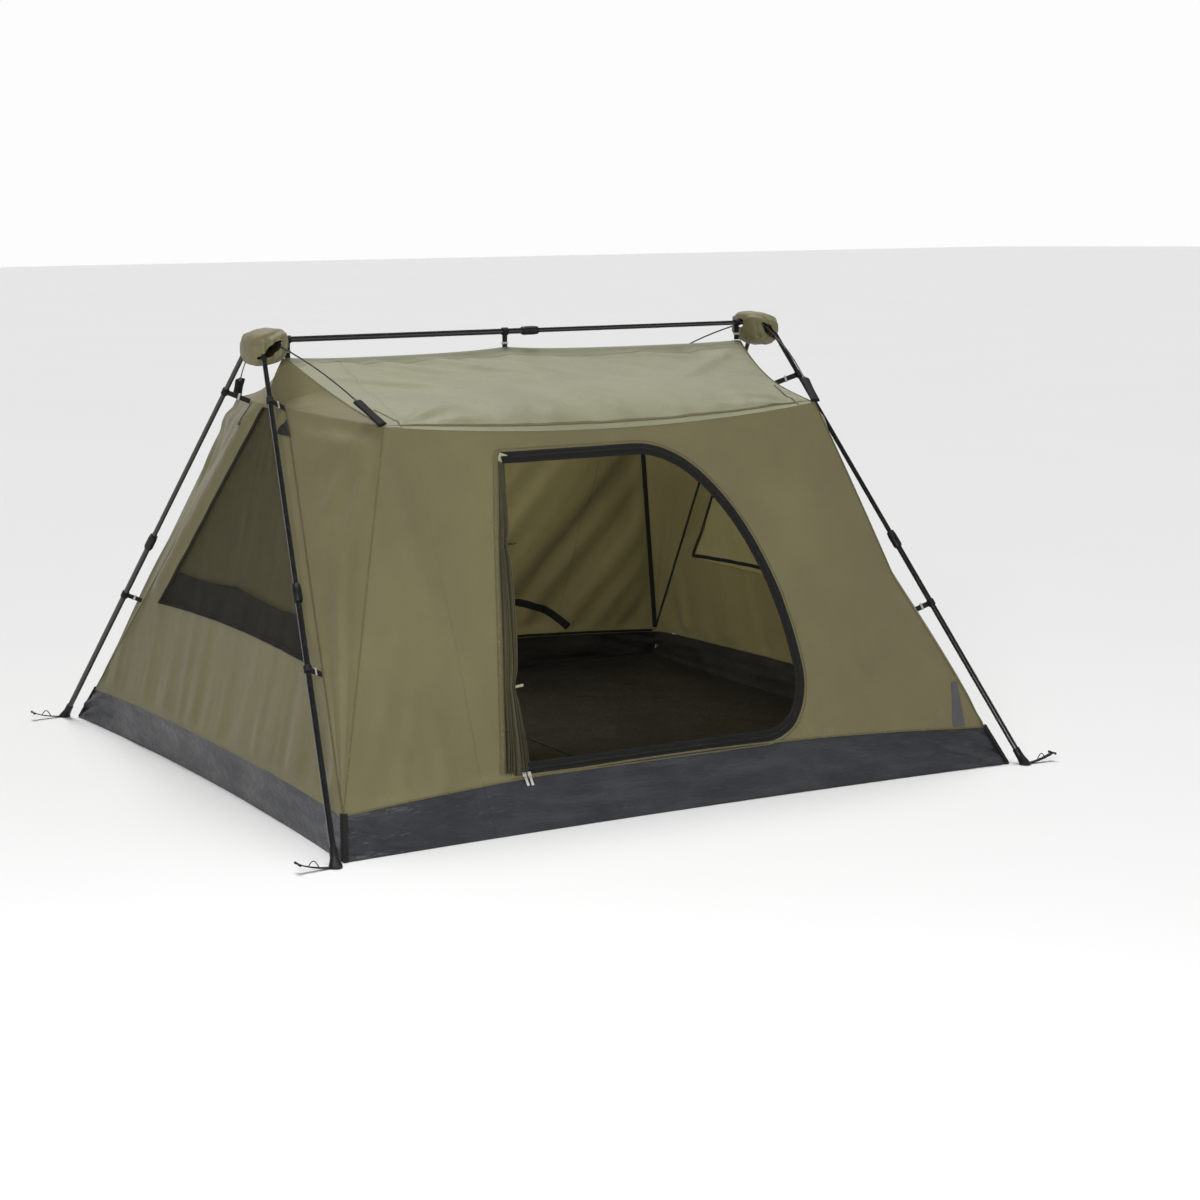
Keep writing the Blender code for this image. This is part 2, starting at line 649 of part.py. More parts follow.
def add_zip_slider():
    """Slider with its pull, on the straight stretch of the door's zip along the sill."""
    z = DOOR_SILL - 0.012
    x = DOOR_HINGE_LOW_X + 0.066
    face = frame_along(Vector((x, -wall_y(z), z)), wall_normal(-1))
    tub_proud = abs(TUB_Y - TUB_PULL_Y - wall_y(0)) * 0.036 / DOOR_SILL
    lift = 0.0012 + tub_proud      # the pull hangs down over the tub's edge
    slider = add_object("zip_slider", box(face, (-0.006, -0.007, GAP), (0.006, 0.007, lift + 0.002)), "zip")
    combine(slider, box(face, (-0.0035, -0.036, lift), (0.0035, -0.004, lift + 0.0015)), "zip_pull", "UNION")


def add_rear_port():
    """Zip tape of a low arch in the back wall, on its inner face."""
    points = []
    widths = []
    for share in [2 * k - 1 for k in steps(12)]:
        x = PORT_X + share * PORT_HALF
        z = PORT_LOW + (PORT_HIGH - PORT_LOW) * arch(share)
        points.append(Vector((x, wall_y(z) - FABRIC - TAPE_THICK - 0.002, z)))
        widths.append((TAPE_THICK / 2, TAPE_WIDTH / 2))
    add_object("rear_port_zip", swept(points, widths, 4, across=wall_normal(1)), "webbing")


def add_end_wall(side, side_x):
    """End wall of one sheet: the window panel in the middle and a gusset to each corner seam."""
    rows = []
    low = BASE.z + TUB_RISE_END
    flip = Vector((side_x, 1, 1))
    for rise in steps(8):
        row = []
        for share in (-1.0, -0.7, -0.35, 0.0, 0.35, 0.7, 1.0):
            z = low + SEAM + (NECK.z - low - SEAM) * rise
            row.append(Vector((end_x(z), share * window_seam_y(z), z)) * flip)
        corner_z = low + SEAM + (SHOULDER.z - 2 * SEAM - low) * rise
        corner = Vector((corner_x(corner_z), wall_y(corner_z) - SEAM, corner_z))
        row.insert(0, corner * Vector((side_x, -1, 1)))
        row.append(corner * flip)
        rows.append(row)
    crown = []
    for share in (-1.0, -0.5, -0.25, -0.12, 0.0, 0.12, 0.25, 0.5, 1.0):
        ridge = Vector((RIDGE_FABRIC_X + SEAM, 0, RIDGE_FABRIC_Z - FABRIC))
        shoulder = Vector((SHOULDER.x + SEAM, SHOULDER.y - SEAM, SHOULDER.z - SEAM))
        point = ridge.lerp(shoulder, abs(share))
        crown.append(point * Vector((side_x, -1 if share < 0 else 1, 1)))
    rows.append(crown)
    wall = panel("end_wall_" + side, rows, "canopy", (0, 0, 0.6))
    opening = window_prism(0.0)
    opening.transform(Matrix.Diagonal((side_x, 1, 1, 1)))
    cut(wall, opening, "window_opening_" + side)


def window_prism(margin):
    bm = bmesh.new()
    outline = [(-WINDOW_HALF_SILL - margin, WINDOW_SILL - margin), (WINDOW_HALF_SILL + margin, WINDOW_SILL - margin),
               (WINDOW_HALF_TOP + margin, WINDOW_TOP), (-WINDOW_HALF_TOP - margin, WINDOW_TOP)]
    near = [bm.verts.new((0.7, y, z)) for y, z in outline]
    far = [bm.verts.new((1.4, y, z)) for y, z in outline]
    join_rings(bm, [near, far])
    bm.faces.new(near)
    bm.faces.new(far)
    return bm


def add_window(side, side_x):
    """Mesh of the window, lapped over the opening's edge on the inside."""
    rows = []
    for rise in steps(4):
        z = WINDOW_SILL - LAP + (WINDOW_TOP + LAP - WINDOW_SILL) * rise
        half = WINDOW_HALF_SILL + LAP + (WINDOW_HALF_TOP - WINDOW_HALF_SILL) * rise
        inside = end_x(z) - FABRIC - 2 * GAP - 0.0004
        rows.append([Vector((side_x * inside, share * half, z)) for share in (-1.0, -0.5, 0.0, 0.5, 1.0)])
    panel("window_mesh_" + side, rows, "mesh", (0, 0, 0.6), thickness=0.001)


def tub_outline(height):
    """Corner to corner round the tub, at the ground for height 0 and at its top edge for height 1."""
    points = []
    count = 8
    for start, end in (((-1, -1), (1, -1)), ((1, -1), (1, 1)), ((1, 1), (-1, 1)), ((-1, 1), (-1, -1))):
        for share in steps(count)[:-1]:
            u = start[0] + (end[0] - start[0]) * share
            v = start[1] + (end[1] - start[1]) * share
            along_x = start[1] == end[1]
            pull = arch(u if along_x else v)
            low = Vector((u * TUB_X, v * (TUB_Y - TUB_PULL_Y * pull), 0)) if along_x else \
                Vector((u * (TUB_X - TUB_PULL_X * pull), v * TUB_Y, 0))
            rise = (TUB_RISE_FRONT if along_x else TUB_RISE_END) * pull
            z = BASE.z + rise - SEAM
            if along_x:
                high = Vector((u * BASE.x, v * wall_y(z), z))
            else:
                high = Vector((u * end_x(z), v * BASE.y, z))
            points.append(low.lerp(high, height))
    return points


def add_tub():
    """Groundsheet with its sides turned up, in one piece."""
    bm = bmesh.new()
    rings = [[bm.verts.new(point) for point in tub_outline(height)] for height in steps(2)]
    join_rings(bm, rings)
    bm.faces.new(rings[0])
    bmesh.ops.recalc_face_normals(bm, faces=bm.faces)
    bm.normal_update()
    floor = min(bm.faces, key=lambda face: face.calc_center_median().z)
    if floor.normal.z > 0:
        bmesh.ops.reverse_faces(bm, faces=bm.faces)
    thicken("tub", bm, "tub")


def build():
    for obj in list(bpy.data.objects):
        bpy.data.objects.remove(obj, do_unlink=True)
    add_hub("hub_left", -1, OUTER_RADIUS)
    add_hub("hub_right", 1, INNER_RADIUS)
    add_ridge()
    for corner, (side_x, side_y) in CORNERS.items():
        add_leg(corner, side_x, side_y)
        add_leg_clips(corner, side_x, side_y)
        add_peg_loop(corner, side_x, side_y)
        add_arm("eave_arm_" + corner, side_x, side_y)
    add_ridge_straps()
    for side, side_x in SIDES.items():
        add_hub_cover("hub_cover_" + side, side_x)
        add_end_wall(side, side_x)
        add_window(side, side_x)
    add_roof()
    add_front_wall()
    add_long_wall("back_wall", 1)
    add_door_flap()
    add_zip_slider()
    add_rear_port()
    add_tub()


build()
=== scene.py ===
"""Looks of the frame tent: fabric, webbing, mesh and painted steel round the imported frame.

Metres, +Z up, +X along the ridge, the door on the -Y side. side_x is -1 at the left hub and side_y -1 at the door.
"""

import json
import math

import bmesh
import bpy
from mathutils import Matrix, Vector, noise

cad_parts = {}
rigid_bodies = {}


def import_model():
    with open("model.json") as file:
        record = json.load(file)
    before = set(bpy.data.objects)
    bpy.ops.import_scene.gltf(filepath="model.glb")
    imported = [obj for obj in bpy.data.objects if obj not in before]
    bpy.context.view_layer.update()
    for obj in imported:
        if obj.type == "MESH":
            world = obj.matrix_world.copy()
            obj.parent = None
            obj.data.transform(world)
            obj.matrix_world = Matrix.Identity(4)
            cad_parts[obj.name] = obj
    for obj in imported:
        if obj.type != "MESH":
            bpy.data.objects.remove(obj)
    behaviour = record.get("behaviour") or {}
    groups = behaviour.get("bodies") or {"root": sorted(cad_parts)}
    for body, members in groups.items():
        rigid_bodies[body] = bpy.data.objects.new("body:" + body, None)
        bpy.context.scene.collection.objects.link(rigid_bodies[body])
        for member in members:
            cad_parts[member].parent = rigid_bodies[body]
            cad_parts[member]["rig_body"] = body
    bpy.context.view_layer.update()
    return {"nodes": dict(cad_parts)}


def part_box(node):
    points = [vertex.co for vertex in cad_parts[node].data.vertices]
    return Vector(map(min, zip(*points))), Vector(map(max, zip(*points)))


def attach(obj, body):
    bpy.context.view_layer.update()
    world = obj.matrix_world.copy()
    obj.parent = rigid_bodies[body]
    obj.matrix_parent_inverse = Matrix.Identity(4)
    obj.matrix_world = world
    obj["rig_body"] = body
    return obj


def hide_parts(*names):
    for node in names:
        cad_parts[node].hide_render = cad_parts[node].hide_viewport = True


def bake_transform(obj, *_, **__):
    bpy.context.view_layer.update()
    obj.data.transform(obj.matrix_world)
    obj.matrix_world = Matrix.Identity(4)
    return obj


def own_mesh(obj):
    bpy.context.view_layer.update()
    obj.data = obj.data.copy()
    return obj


bl_info = {
    "name": "Frame tent",
    "version": (1, 0, 0),
    "blender": (4, 5, 0),
    "location": "3D View > Sidebar > Frame tent",
    "description": "Builds the canopy, trims and finishes of a frame tent round its packed frame",
    "category": "Object",
}

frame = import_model()

# Lines of the frame and canopy
PIVOT = Vector((0.960, 0.044, 1.400))
FOOT = Vector((1.242, 1.158, 0.0))
RIDGE_FABRIC_Z = 1.337
RIDGE_FABRIC_X = 0.872
SHOULDER = Vector((0.795, 0.567, 1.168))
BASE = Vector((1.166, 1.045, 0.109))
CORNER_Y_LOW = 1.039
NECK = Vector((0.923, 0.136, 1.195))
EAVE_SAG = 0.043
EAVE_BELLY = 0.020
ROOF_BULGE = 0.038
TUB_X, TUB_Y = 1.202, 1.126
TUB_PULL_X, TUB_PULL_Y = 0.040, 0.030
TUB_RISE_FRONT, TUB_RISE_END = 0.045, 0.028
DOOR_TOP, DOOR_SILL = 1.065, 0.165
DOOR_HINGE_TOP_X, DOOR_HINGE_LOW_X = -0.425, -0.620
DOOR_FLAT_TOP_X, DOOR_RIGHT_X = 0.060, 0.500
DOOR_WIDEST_Z, DOOR_LOW_RADIUS = 0.370, 0.190
WINDOW_TOP, WINDOW_SILL = 1.185, 0.480
WINDOW_HALF_TOP, WINDOW_HALF_SILL = 0.035, 0.610
PORT_X, PORT_HALF, PORT_LOW, PORT_HIGH = 0.42, 0.33, 0.166, 0.290
CORNER_BOW, SILL_RISE = 0.046, 0.018
RIDGE_BAND = 0.096       # share of each slope that the ridge band covers
ARM_BEND, ARM_BOW, ARM_TIP_LIFT = 0.030, 0.022, 0.012

# The long panels are sewn of three lengths; the middle one gets a mesh of its own
SPLIT_X = 0.700
CELL = 0.012             # size of a mesh cell of the fabric
LENGTHS = (("left", -1), ("middle", 0), ("right", 1))
RIDGE_STRAP_X, MIDDLE_STRAP_X, RIDGE_SAG_Z = 0.854, -0.069, 1.3325
TIE_HEIGHTS = (1.045, 0.803, 0.402)                  # ties round the gathered door
DOOR_PLEATS = 13
FRONT_WALL_TALL = 1.12
ROOF_UP = Vector((0, 0.33, 0.94))
UPPER_CLIP_ALONG, LOWER_CLIP_ALONG, LOWER_CLIP_Z = 0.2245, 1.175, 0.468
PATCH_FROM, PATCH_X = 0.70, 0.742                    # shoulder patch: share of the slope and inner edge
VENT_CORNERS = [Vector(p) for p in ((0.926, 0.163, 1.165), (0.926, 0.216, 1.114), (0.926, 0.146, 1.114))]

# Stage: the camera's place and the direction that it looks from in degrees, and the lights
CAMERA_PLACE, CAMERA_LENS = (-4.14, -7.566, 1.958), 77.07
CAMERA_AZIMUTH, CAMERA_ELEVATION = -30.40, 9.69
OVERHEAD_FROM, OVERHEAD_POWER, OVERHEAD_SPREAD = Vector((0.10, 0.34, 0.93)), 3.0, 38
GROUND_HALF, GROUND_DROP, GROUND_TONE = 40.0, 0.0005, 0.72
STAGE_LIGHTS = (         # name, place, target, size, watts, seen by the camera
    ("key", (-3.9, -5.4, 3.1), (0, 0, 0.7), 2.0, 185.0, True),
    ("front_fill", (3.4, -6.0, 2.2), (0, 0, 0.5), 2.4, 8.0, True),
    ("inside", (-0.35, -0.02, 0.80), (0.30, 1.0, 0.62), 0.3, 11.0, False))
SIDES = {"left": -1, "right": 1}
FACES = {"front": -1, "back": 1}
CORNERS = {f"{f}_{s}": (x, y) for f, y in FACES.items() for s, x in SIDES.items()}


# Folds of the cloth: start, end, width and height, in (x, z), (x, across) and (across, rise)
FRONT_CREASES = (
    ((-0.80, 1.15), (-0.74, 0.35), 0.035, 0.007), ((-0.76, 0.80), (-0.62, 0.20), 0.030, 0.005),
    ((-1.08, 0.14), (-0.86, 0.62), 0.030, 0.006), ((-0.98, 0.13), (-0.83, 0.48), 0.022, 0.005),
    ((0.52, 0.98), (0.30, 1.06), 0.030, 0.004), ((0.78, 1.08), (0.50, 0.55), 0.060, 0.008),
    ((0.55, 0.50), (0.80, 0.16), 0.040, 0.006), ((1.10, 0.16), (0.70, 0.62), 0.045, 0.006))
ROOF_CREASES = (
    ((-0.62, 0.02), (-0.12, 0.50), 0.034, 0.017), ((-0.46, 0.00), (0.04, 0.50), 0.030, 0.014),
    ((-0.76, 0.04), (-0.34, 0.44), 0.028, 0.016), ((-0.82, 0.20), (-0.40, 0.56), 0.028, 0.013),
    ((-0.78, 0.50), (-0.50, 0.62), 0.024, 0.009), ((-0.34, 0.02), (0.16, 0.46), 0.032, 0.010),
    ((0.32, 0.06), (0.70, 0.22), 0.030, 0.010), ((0.80, 0.10), (0.42, 0.54), 0.036, 0.011),
    ((-0.79, 0.98), (-0.48, 0.76), 0.024, 0.013), ((-0.79, 0.99), (-0.40, 0.90), 0.018, 0.010),
    ((0.79, 0.98), (0.50, 0.78), 0.024, 0.013), ((0.79, 0.99), (0.42, 0.90), 0.018, 0.010))
GUSSET_CREASES = (
    ((1.0, 0.97), (0.12, 0.86), 0.040, 0.013), ((1.0, 0.99), (0.28, 0.72), 0.032, 0.012),
    ((0.98, 0.96), (0.55, 0.60), 0.045, 0.010), ((0.0, 0.93), (0.80, 0.94), 0.026, 0.009),
    ((0.45, 0.05), (0.50, 0.75), 0.11, 0.011))


# ---- sizes and colours that a user would change ------------------------------------------------------------

class TentSizes(bpy.types.PropertyGroup):
    fabric: bpy.props.FloatProperty(
        name="Fabric", description="Thickness of the canopy's cloth", default=0.0008, min=0.0003, unit="LENGTH")
    wrinkles: bpy.props.FloatProperty(
        name="Wrinkles", description="Depth of the cloth's wrinkles, as a share", default=1.0, min=0.0,
        subtype="FACTOR")
    zip_tape: bpy.props.FloatProperty(
        name="Zip tape", description="Width of the door's zip tape", default=0.034, min=0.01, unit="LENGTH")
    binding: bpy.props.FloatProperty(
        name="Binding", description="Width of the black bindings inside", default=0.016, min=0.004, unit="LENGTH")
    seam: bpy.props.FloatProperty(
        name="Seam", description="Width of a felled seam", default=0.007, min=0.004, unit="LENGTH")
    sleeve: bpy.props.FloatProperty(
        name="Sleeve", description="Length of the webbing sleeve over each arm's tip", default=0.130, min=0.05,
        unit="LENGTH")


def colour_property(name, description, default):
    return bpy.props.FloatVectorProperty(name=name, description=description, default=default, size=3, min=0.0,
                                         max=1.0, subtype="COLOR")


class TentColours(bpy.types.PropertyGroup):
    canopy: colour_property("Canopy", "Olive cloth of the walls", (0.205, 0.184, 0.086))
    # Roof: the wall's olive made lighter and paler, painted light for the bright light that falls on the roof
    roof: colour_property("Roof", "Olive cloth of the roof", (0.285, 0.282, 0.170))
    lining: colour_property("Lining", "Inner face of the cloth", (0.235, 0.205, 0.085))
    groundsheet: colour_property("Groundsheet", "Coated cloth of the tub, outside", (0.034, 0.035, 0.040))
    floor: colour_property("Floor", "Inner face of the tub", (0.022, 0.021, 0.016))
    window: colour_property("Window", "Insect mesh", (0.030, 0.027, 0.017))
    webbing: colour_property("Webbing", "Straps, tapes and bindings", (0.0065, 0.0065, 0.0058))
    steel: colour_property("Steel", "Painted tubes and rods", (0.0060, 0.0060, 0.0062))
    moulding: colour_property("Mouldings", "Hubs, collars and feet", (0.0070, 0.0070, 0.0072))
    zinc: colour_property("Zip pulls", "Cast zip pulls", (0.70, 0.69, 0.64))


def sizes():
    return bpy.context.scene.tent_sizes


def colours():
    return bpy.context.scene.tent_colours


# ---- finishes -----------------------------------------------------------------------------------------------

def node(tree, kind, settings=None, **feeds):
    """Adds a node, sets its fields, and links or sets its inputs: B1 is the input with index 1."""
    made = tree.nodes.new("ShaderNode" + kind)
    for key, value in (settings or {}).items():
        setattr(made, key, value)
    for key, value in feeds.items():
        name = key.replace("_", " ")
        socket = made.inputs[int(key[1:])] if key[0] == "B" and key[1:].isdigit() else made.inputs[name]
        if isinstance(value, bpy.types.NodeSocket):
            tree.links.new(value, socket)
        else:
            socket.default_value = value
    return made


def new_finish(name, colour, roughness, metallic=0.0, **uniform):
    """New material with its tree, its shader and the outputs of its texture coordinates."""
    material = bpy.data.materials.new(name)
    material.use_nodes = True
    material.diffuse_color = (*colour, 1.0)
    tree = material.node_tree
    shader = tree.nodes["Principled BSDF"]
    uniform.update(Base_Color=(*colour, 1.0), Roughness=roughness, Metallic=metallic)
    for key, value in uniform.items():
        shader.inputs[key.replace("_", " ")].default_value = value
    return material, tree, shader, node(tree, "TexCoord").outputs


def wire(tree, shader, **feeds):
    """Links sockets to the shader's inputs by name."""
    for key, socket in feeds.items():
        tree.links.new(socket, shader.inputs[key.replace("_", " ")])


def stretched(tree, vector, scale):
    return node(tree, "Mapping", Vector=vector, Scale=scale).outputs[0]


def ribs_of(tree, vector, direction, pitch, distortion):
    return node(tree, "TexWave", {"bands_direction": direction}, Vector=vector, Scale=math.tau / 20 / pitch,
                Distortion=distortion).outputs["Fac"]


def scaled(colour, factor):
    return tuple(c * factor for c in colour)


def shaded(colour, factor):
    return (*(min(1.0, c) for c in scaled(colour, factor)), 1.0)


def noise_of(tree, vector, scale, detail=3.0, rough=0.55):
    return node(tree, "TexNoise", Vector=vector, Scale=scale, Detail=detail, Roughness=rough).outputs["Fac"]


def mixed(tree, factor, low, high):
    mix = node(tree, "Mix", {"data_type": "RGBA"}, Factor=factor)
    for index, value in ((6, low), (7, high)):
        if isinstance(value, bpy.types.NodeSocket):
            tree.links.new(value, mix.inputs[index])
        else:
            mix.inputs[index].default_value = value
    return mix.outputs[2]


def ranged(tree, value, low, high, to_low=0.0, to_high=1.0):
    return node(tree, "MapRange", Value=value, From_Min=low, From_Max=high, To_Min=to_low,
                To_Max=to_high).outputs["Result"]


def reckoned(tree, operation, first, second=0.0):
    return node(tree, "Math", {"operation": operation}, B0=first, B1=second).outputs[0]


def bumped(tree, height, distance, strength, normal=None):
    bump = node(tree, "Bump", Height=height, Distance=distance, Strength=strength)
    if normal is not None:
        tree.links.new(normal, bump.inputs["Normal"])
    return bump.outputs["Normal"]


def threads(tree, vector, pitch):
    """Height of a plain weave whose threads are pitch metres apart."""
    warp, weft = (reckoned(tree, "MULTIPLY", ribs_of(tree, vector, way, pitch, 0.0), 0.5) for way in "XY")
    return reckoned(tree, "ADD", warp, weft)


def cloth_finish(name, colour, roughness, pitch=0.0016, crumple=0.35, through=0.0, sheen=0.12):
    """Woven cloth: thread weave, slubs, soft blotches and fine crumples, and light that comes through."""
    material, tree, shader, places = new_finish(name, colour, roughness, Sheen_Weight=sheen, Sheen_Roughness=0.4,
                                                Specular_IOR_Level=0.5)
    wide = noise_of(tree, places["Object"], 2.6, 4.0, 0.6)
    slub = noise_of(tree, stretched(tree, places["UV"], (90.0, 900.0, 1.0)), 1.0, 2.0)
    weave = threads(tree, places["UV"], pitch)
    tone = mixed(tree, ranged(tree, wide, 0.32, 0.68), shaded(colour, 0.90), shaded(colour, 1.10))
    tone = mixed(tree, reckoned(tree, "MULTIPLY", slub, 0.22), tone, shaded(colour, 0.72))
    tone = mixed(tree, reckoned(tree, "MULTIPLY", weave, 0.14), tone, shaded(colour, 0.6))
    normal = bumped(tree, noise_of(tree, places["Object"], 17.0, 5.0, 0.58), 0.012, crumple)
    normal = bumped(tree, weave, 0.0004, 0.45, normal)
    wire(tree, shader, Base_Color=tone, Normal=normal,
         Roughness=ranged(tree, wide, 0.25, 0.75, roughness - 0.06, roughness + 0.07))
    if through:
        glow = node(tree, "BsdfTranslucent", Color=shaded(colour, 1.5), Normal=normal)
        mix = node(tree, "MixShader", Fac=through, B1=shader.outputs[0], B2=glow.outputs[0])
        tree.links.new(mix.outputs[0], tree.nodes["Material Output"].inputs["Surface"])


def coated_finish(name, colour, roughness, crumple=0.8):
    """Coated groundsheet: a slick film over cloth, full of small hard creases."""
    material, tree, shader, places = new_finish(name, colour, roughness, Specular_IOR_Level=0.32, Coat_Weight=0.15,
                                                Coat_Roughness=0.18)
    creases = noise_of(tree, stretched(tree, places["Object"], (4.5, 4.5, 17.0)), 1.0, 5.0, 0.62)
    small = noise_of(tree, places["Object"], 46.0, 4.0, 0.6)
    dust = noise_of(tree, places["Object"], 5.0, 6.0, 0.7)
    tone = mixed(tree, ranged(tree, dust, 0.40, 0.72), shaded(colour, 0.88), shaded(colour, 1.20))
    tone = mixed(tree, ranged(tree, creases, 0.60, 0.78, 0.0, 0.25), tone, shaded(colour, 1.8))
    normal = bumped(tree, creases, 0.020, crumple)
    normal = bumped(tree, small, 0.003, 0.20, normal)
    normal = bumped(tree, threads(tree, places["UV"], 0.0022), 0.0003, 0.3, normal)
    wire(tree, shader, Base_Color=tone, Normal=normal,
         Roughness=ranged(tree, dust, 0.3, 0.7, roughness - 0.08, roughness + 0.14))


def net_finish(name, colour):
    """Insect mesh: fine dark strands that let what is behind show."""
    material, tree, shader, places = new_finish(name, colour, 0.85, Alpha=0.31, Specular_IOR_Level=0.1)
    strands = threads(tree, places["UV"], 0.0016)
    wire(tree, shader, Base_Color=mixed(tree, strands, shaded(colour, 0.6), shaded(colour, 1.7)),
         Normal=bumped(tree, strands, 0.0004, 0.3))


def webbing_finish(name, colour, stitches=True, rib=0.0022, roughness=0.72):
    """Ribbed tape with a row of stitches near each edge; the piece's map runs along it in metres."""
    material, tree, shader, places = new_finish(name, colour, roughness, Sheen_Weight=0.03, Sheen_Roughness=0.35,
                                                Specular_IOR_Level=0.22)
    ribs = ribs_of(tree, places["UV"], "DIAGONAL", rib, 0.4)
    lint = noise_of(tree, places["Object"], 140.0, 3.0)
    tone = mixed(tree, ribs, shaded(colour, 0.7), shaded(colour, 1.5))
    tone = mixed(tree, ranged(tree, lint, 0.55, 0.8, 0.0, 0.5), tone, shaded(colour, 2.6))
    normal = bumped(tree, ribs, 0.0006, 0.5)
    if stitches:
        along = node(tree, "SeparateXYZ", Vector=places["UV"]).outputs
        dash = reckoned(tree, "GREATER_THAN",
                        reckoned(tree, "FRACT", reckoned(tree, "DIVIDE", along["X"], 0.0046)), 0.38)
        edge = reckoned(tree, "ABSOLUTE", reckoned(tree, "SUBTRACT", reckoned(tree, "ABSOLUTE", along["Y"]), 1.0))
        row = reckoned(tree, "LESS_THAN", reckoned(tree, "ABSOLUTE", reckoned(tree, "SUBTRACT", edge, 0.22)), 0.055)
        stitch = reckoned(tree, "MULTIPLY", dash, row)
        tone = mixed(tree, stitch, tone, shaded(colour, 3.2 if max(colour) < 0.05 else 0.45))
        normal = bumped(tree, stitch, 0.0008, 0.7, normal)
    wire(tree, shader, Base_Color=tone, Normal=normal)


def steel_finish(name, colour):
    """Painted tube: satin paint with a faint peel, dust and rubbed places."""
    material, tree, shader, places = new_finish(name, colour, 0.22, Coat_Weight=0.6, Coat_Roughness=0.06,
                                                Specular_IOR_Level=0.5)
    peel = noise_of(tree, places["Object"], 260.0, 2.0)
    rub = noise_of(tree, stretched(tree, places["Object"], (60.0, 60.0, 9.0)), 1.0, 5.0, 0.65)
    tone = mixed(tree, ranged(tree, rub, 0.56, 0.82, 0.0, 0.6), (*colour, 1.0), shaded(colour, 2.4))
    wire(tree, shader, Base_Color=tone, Roughness=ranged(tree, rub, 0.3, 0.8, 0.16, 0.36),
         Normal=bumped(tree, peel, 0.0003, 0.25))


def moulding_finish(name, colour, roughness=0.38):
    """Moulded plastic: fine spark grain and scuffs."""
    material, tree, shader, places = new_finish(name, colour, roughness, Specular_IOR_Level=0.35)
    grain = noise_of(tree, places["Object"], 900.0, 2.0)
    scuff = noise_of(tree, places["Object"], 38.0, 6.0, 0.7)
    tone = mixed(tree, ranged(tree, scuff, 0.55, 0.78, 0.0, 0.6), (*colour, 1.0), shaded(colour, 2.6))
    wire(tree, shader, Base_Color=tone, Normal=bumped(tree, grain, 0.0002, 0.35),
         Roughness=ranged(tree, scuff, 0.3, 0.7, roughness - 0.08, roughness + 0.15))


def zinc_finish(name, colour):
    """Cast zinc: dull grey metal with worn places."""
    material, tree, shader, places = new_finish(name, colour, 0.35, metallic=0.7)
    worn = noise_of(tree, places["Object"], 320.0, 4.0)
    wire(tree, shader, Base_Color=mixed(tree, worn, shaded(colour, 0.75), shaded(colour, 1.15)),
         Roughness=ranged(tree, worn, 0.3, 0.7, 0.25, 0.5), Normal=bumped(tree, worn, 0.0002, 0.3))


def clip_webbing(name, colour):
    """Webbing of the clips, woven by place because those parts have no map."""
    material, tree, shader, places = new_finish(name, colour, 0.6, Sheen_Weight=0.03, Specular_IOR_Level=0.22)
    ribs = ribs_of(tree, places["Object"], "Z", 0.0024, 0.6)
    wire(tree, shader, Base_Color=mixed(tree, ribs, shaded(colour, 0.7), shaded(colour, 1.7)),
         Normal=bumped(tree, ribs, 0.0006, 0.5))


def finishes():
    """Every finish of the tent by name, made once."""
    if "painted_steel" not in bpy.data.materials:
        tone = colours()
        cloth_finish("wall_cloth", tone.canopy, 0.62, through=0.18)
        # The roof is the wall's cloth; its lighter, paler colour is painted light from overhead
        cloth_finish("roof_cloth", tone.roof, 0.55, through=0.18, sheen=0.2)
        cloth_finish("lining", tone.lining, 0.60, through=0.30, crumple=0.25)
        cloth_finish("window_flap", scaled(tone.lining, 1.1), 0.65, crumple=0.4)
        cloth_finish("hood_cloth", scaled(tone.canopy, 0.8), 0.6, crumple=0.6)
        # The gathered door: the wall's olive at 0.4 of its tone, painted shade for the shade it hangs in
        cloth_finish("flap_cloth", scaled(tone.canopy, 0.4), 0.6, crumple=0.6)
        cloth_finish("tab_cloth", scaled(tone.roof, 1.2), 0.6)
        cloth_finish("pocket_net", tone.webbing, 0.8, pitch=0.003)
        cloth_finish("vent_net", scaled(tone.webbing, 1.6), 0.8, pitch=0.003)
        coated_finish("groundsheet", tone.groundsheet, 0.38)
        coated_finish("floor_cloth", tone.floor, 0.50, crumple=0.5)
        net_finish("window_net", tone.window)
        webbing_finish("felled_seam", scaled(tone.canopy, 0.62), rib=0.0016, roughness=0.65)
        webbing_finish("strap_tape", tone.webbing)
        webbing_finish("sleeve_tape", tone.webbing, stitches=False)
        webbing_finish("zip_tape", tone.webbing, rib=0.0012)
        webbing_finish("zip_coil", tone.webbing, stitches=False, rib=0.0032, roughness=0.4)
        clip_webbing("clip_tape", tone.webbing)
        steel_finish("painted_steel", tone.steel)
        moulding_finish("black_plastic", tone.moulding)
        moulding_finish("pale_plastic", (0.42, 0.42, 0.40), 0.4)
        moulding_finish("grey_plastic", (0.10, 0.10, 0.10), 0.4)
        cloth_finish("grey_cloth", (0.085, 0.080, 0.088), 0.6)
        zinc_finish("zinc", tone.zinc)
    return bpy.data.materials


# ---- lines and surfaces of the canopy ------------------------------------------------------------------------

def arch(share):
    return 1 - share * share


def ease(value, width):
    """0 at a distance of 0, rising smoothly to 1 at width."""
    t = max(0.0, min(1.0, value / width))
    return t * t * (3 - 2 * t)


def rough(a, b, seed):
    return noise.noise(Vector((a, b, seed)))


def crease(a, b, start, end, width, height):
    """Ridge of a fold that runs from start to end and dies away at both."""
    run = Vector(end) - Vector(start)
    here = Vector((a, b)) - Vector(start)
    along = here.dot(run) / run.length_squared
    if not 0 < along < 1:
        return 0.0
    off = (here - run * along).length / width
    return height * math.exp(-off * off) * math.sin(math.pi * along) ** 0.7


def wall_y(z):
    return SHOULDER.y + (SHOULDER.z - z) * (CORNER_Y_LOW - SHOULDER.y) / (SHOULDER.z - BASE.z)


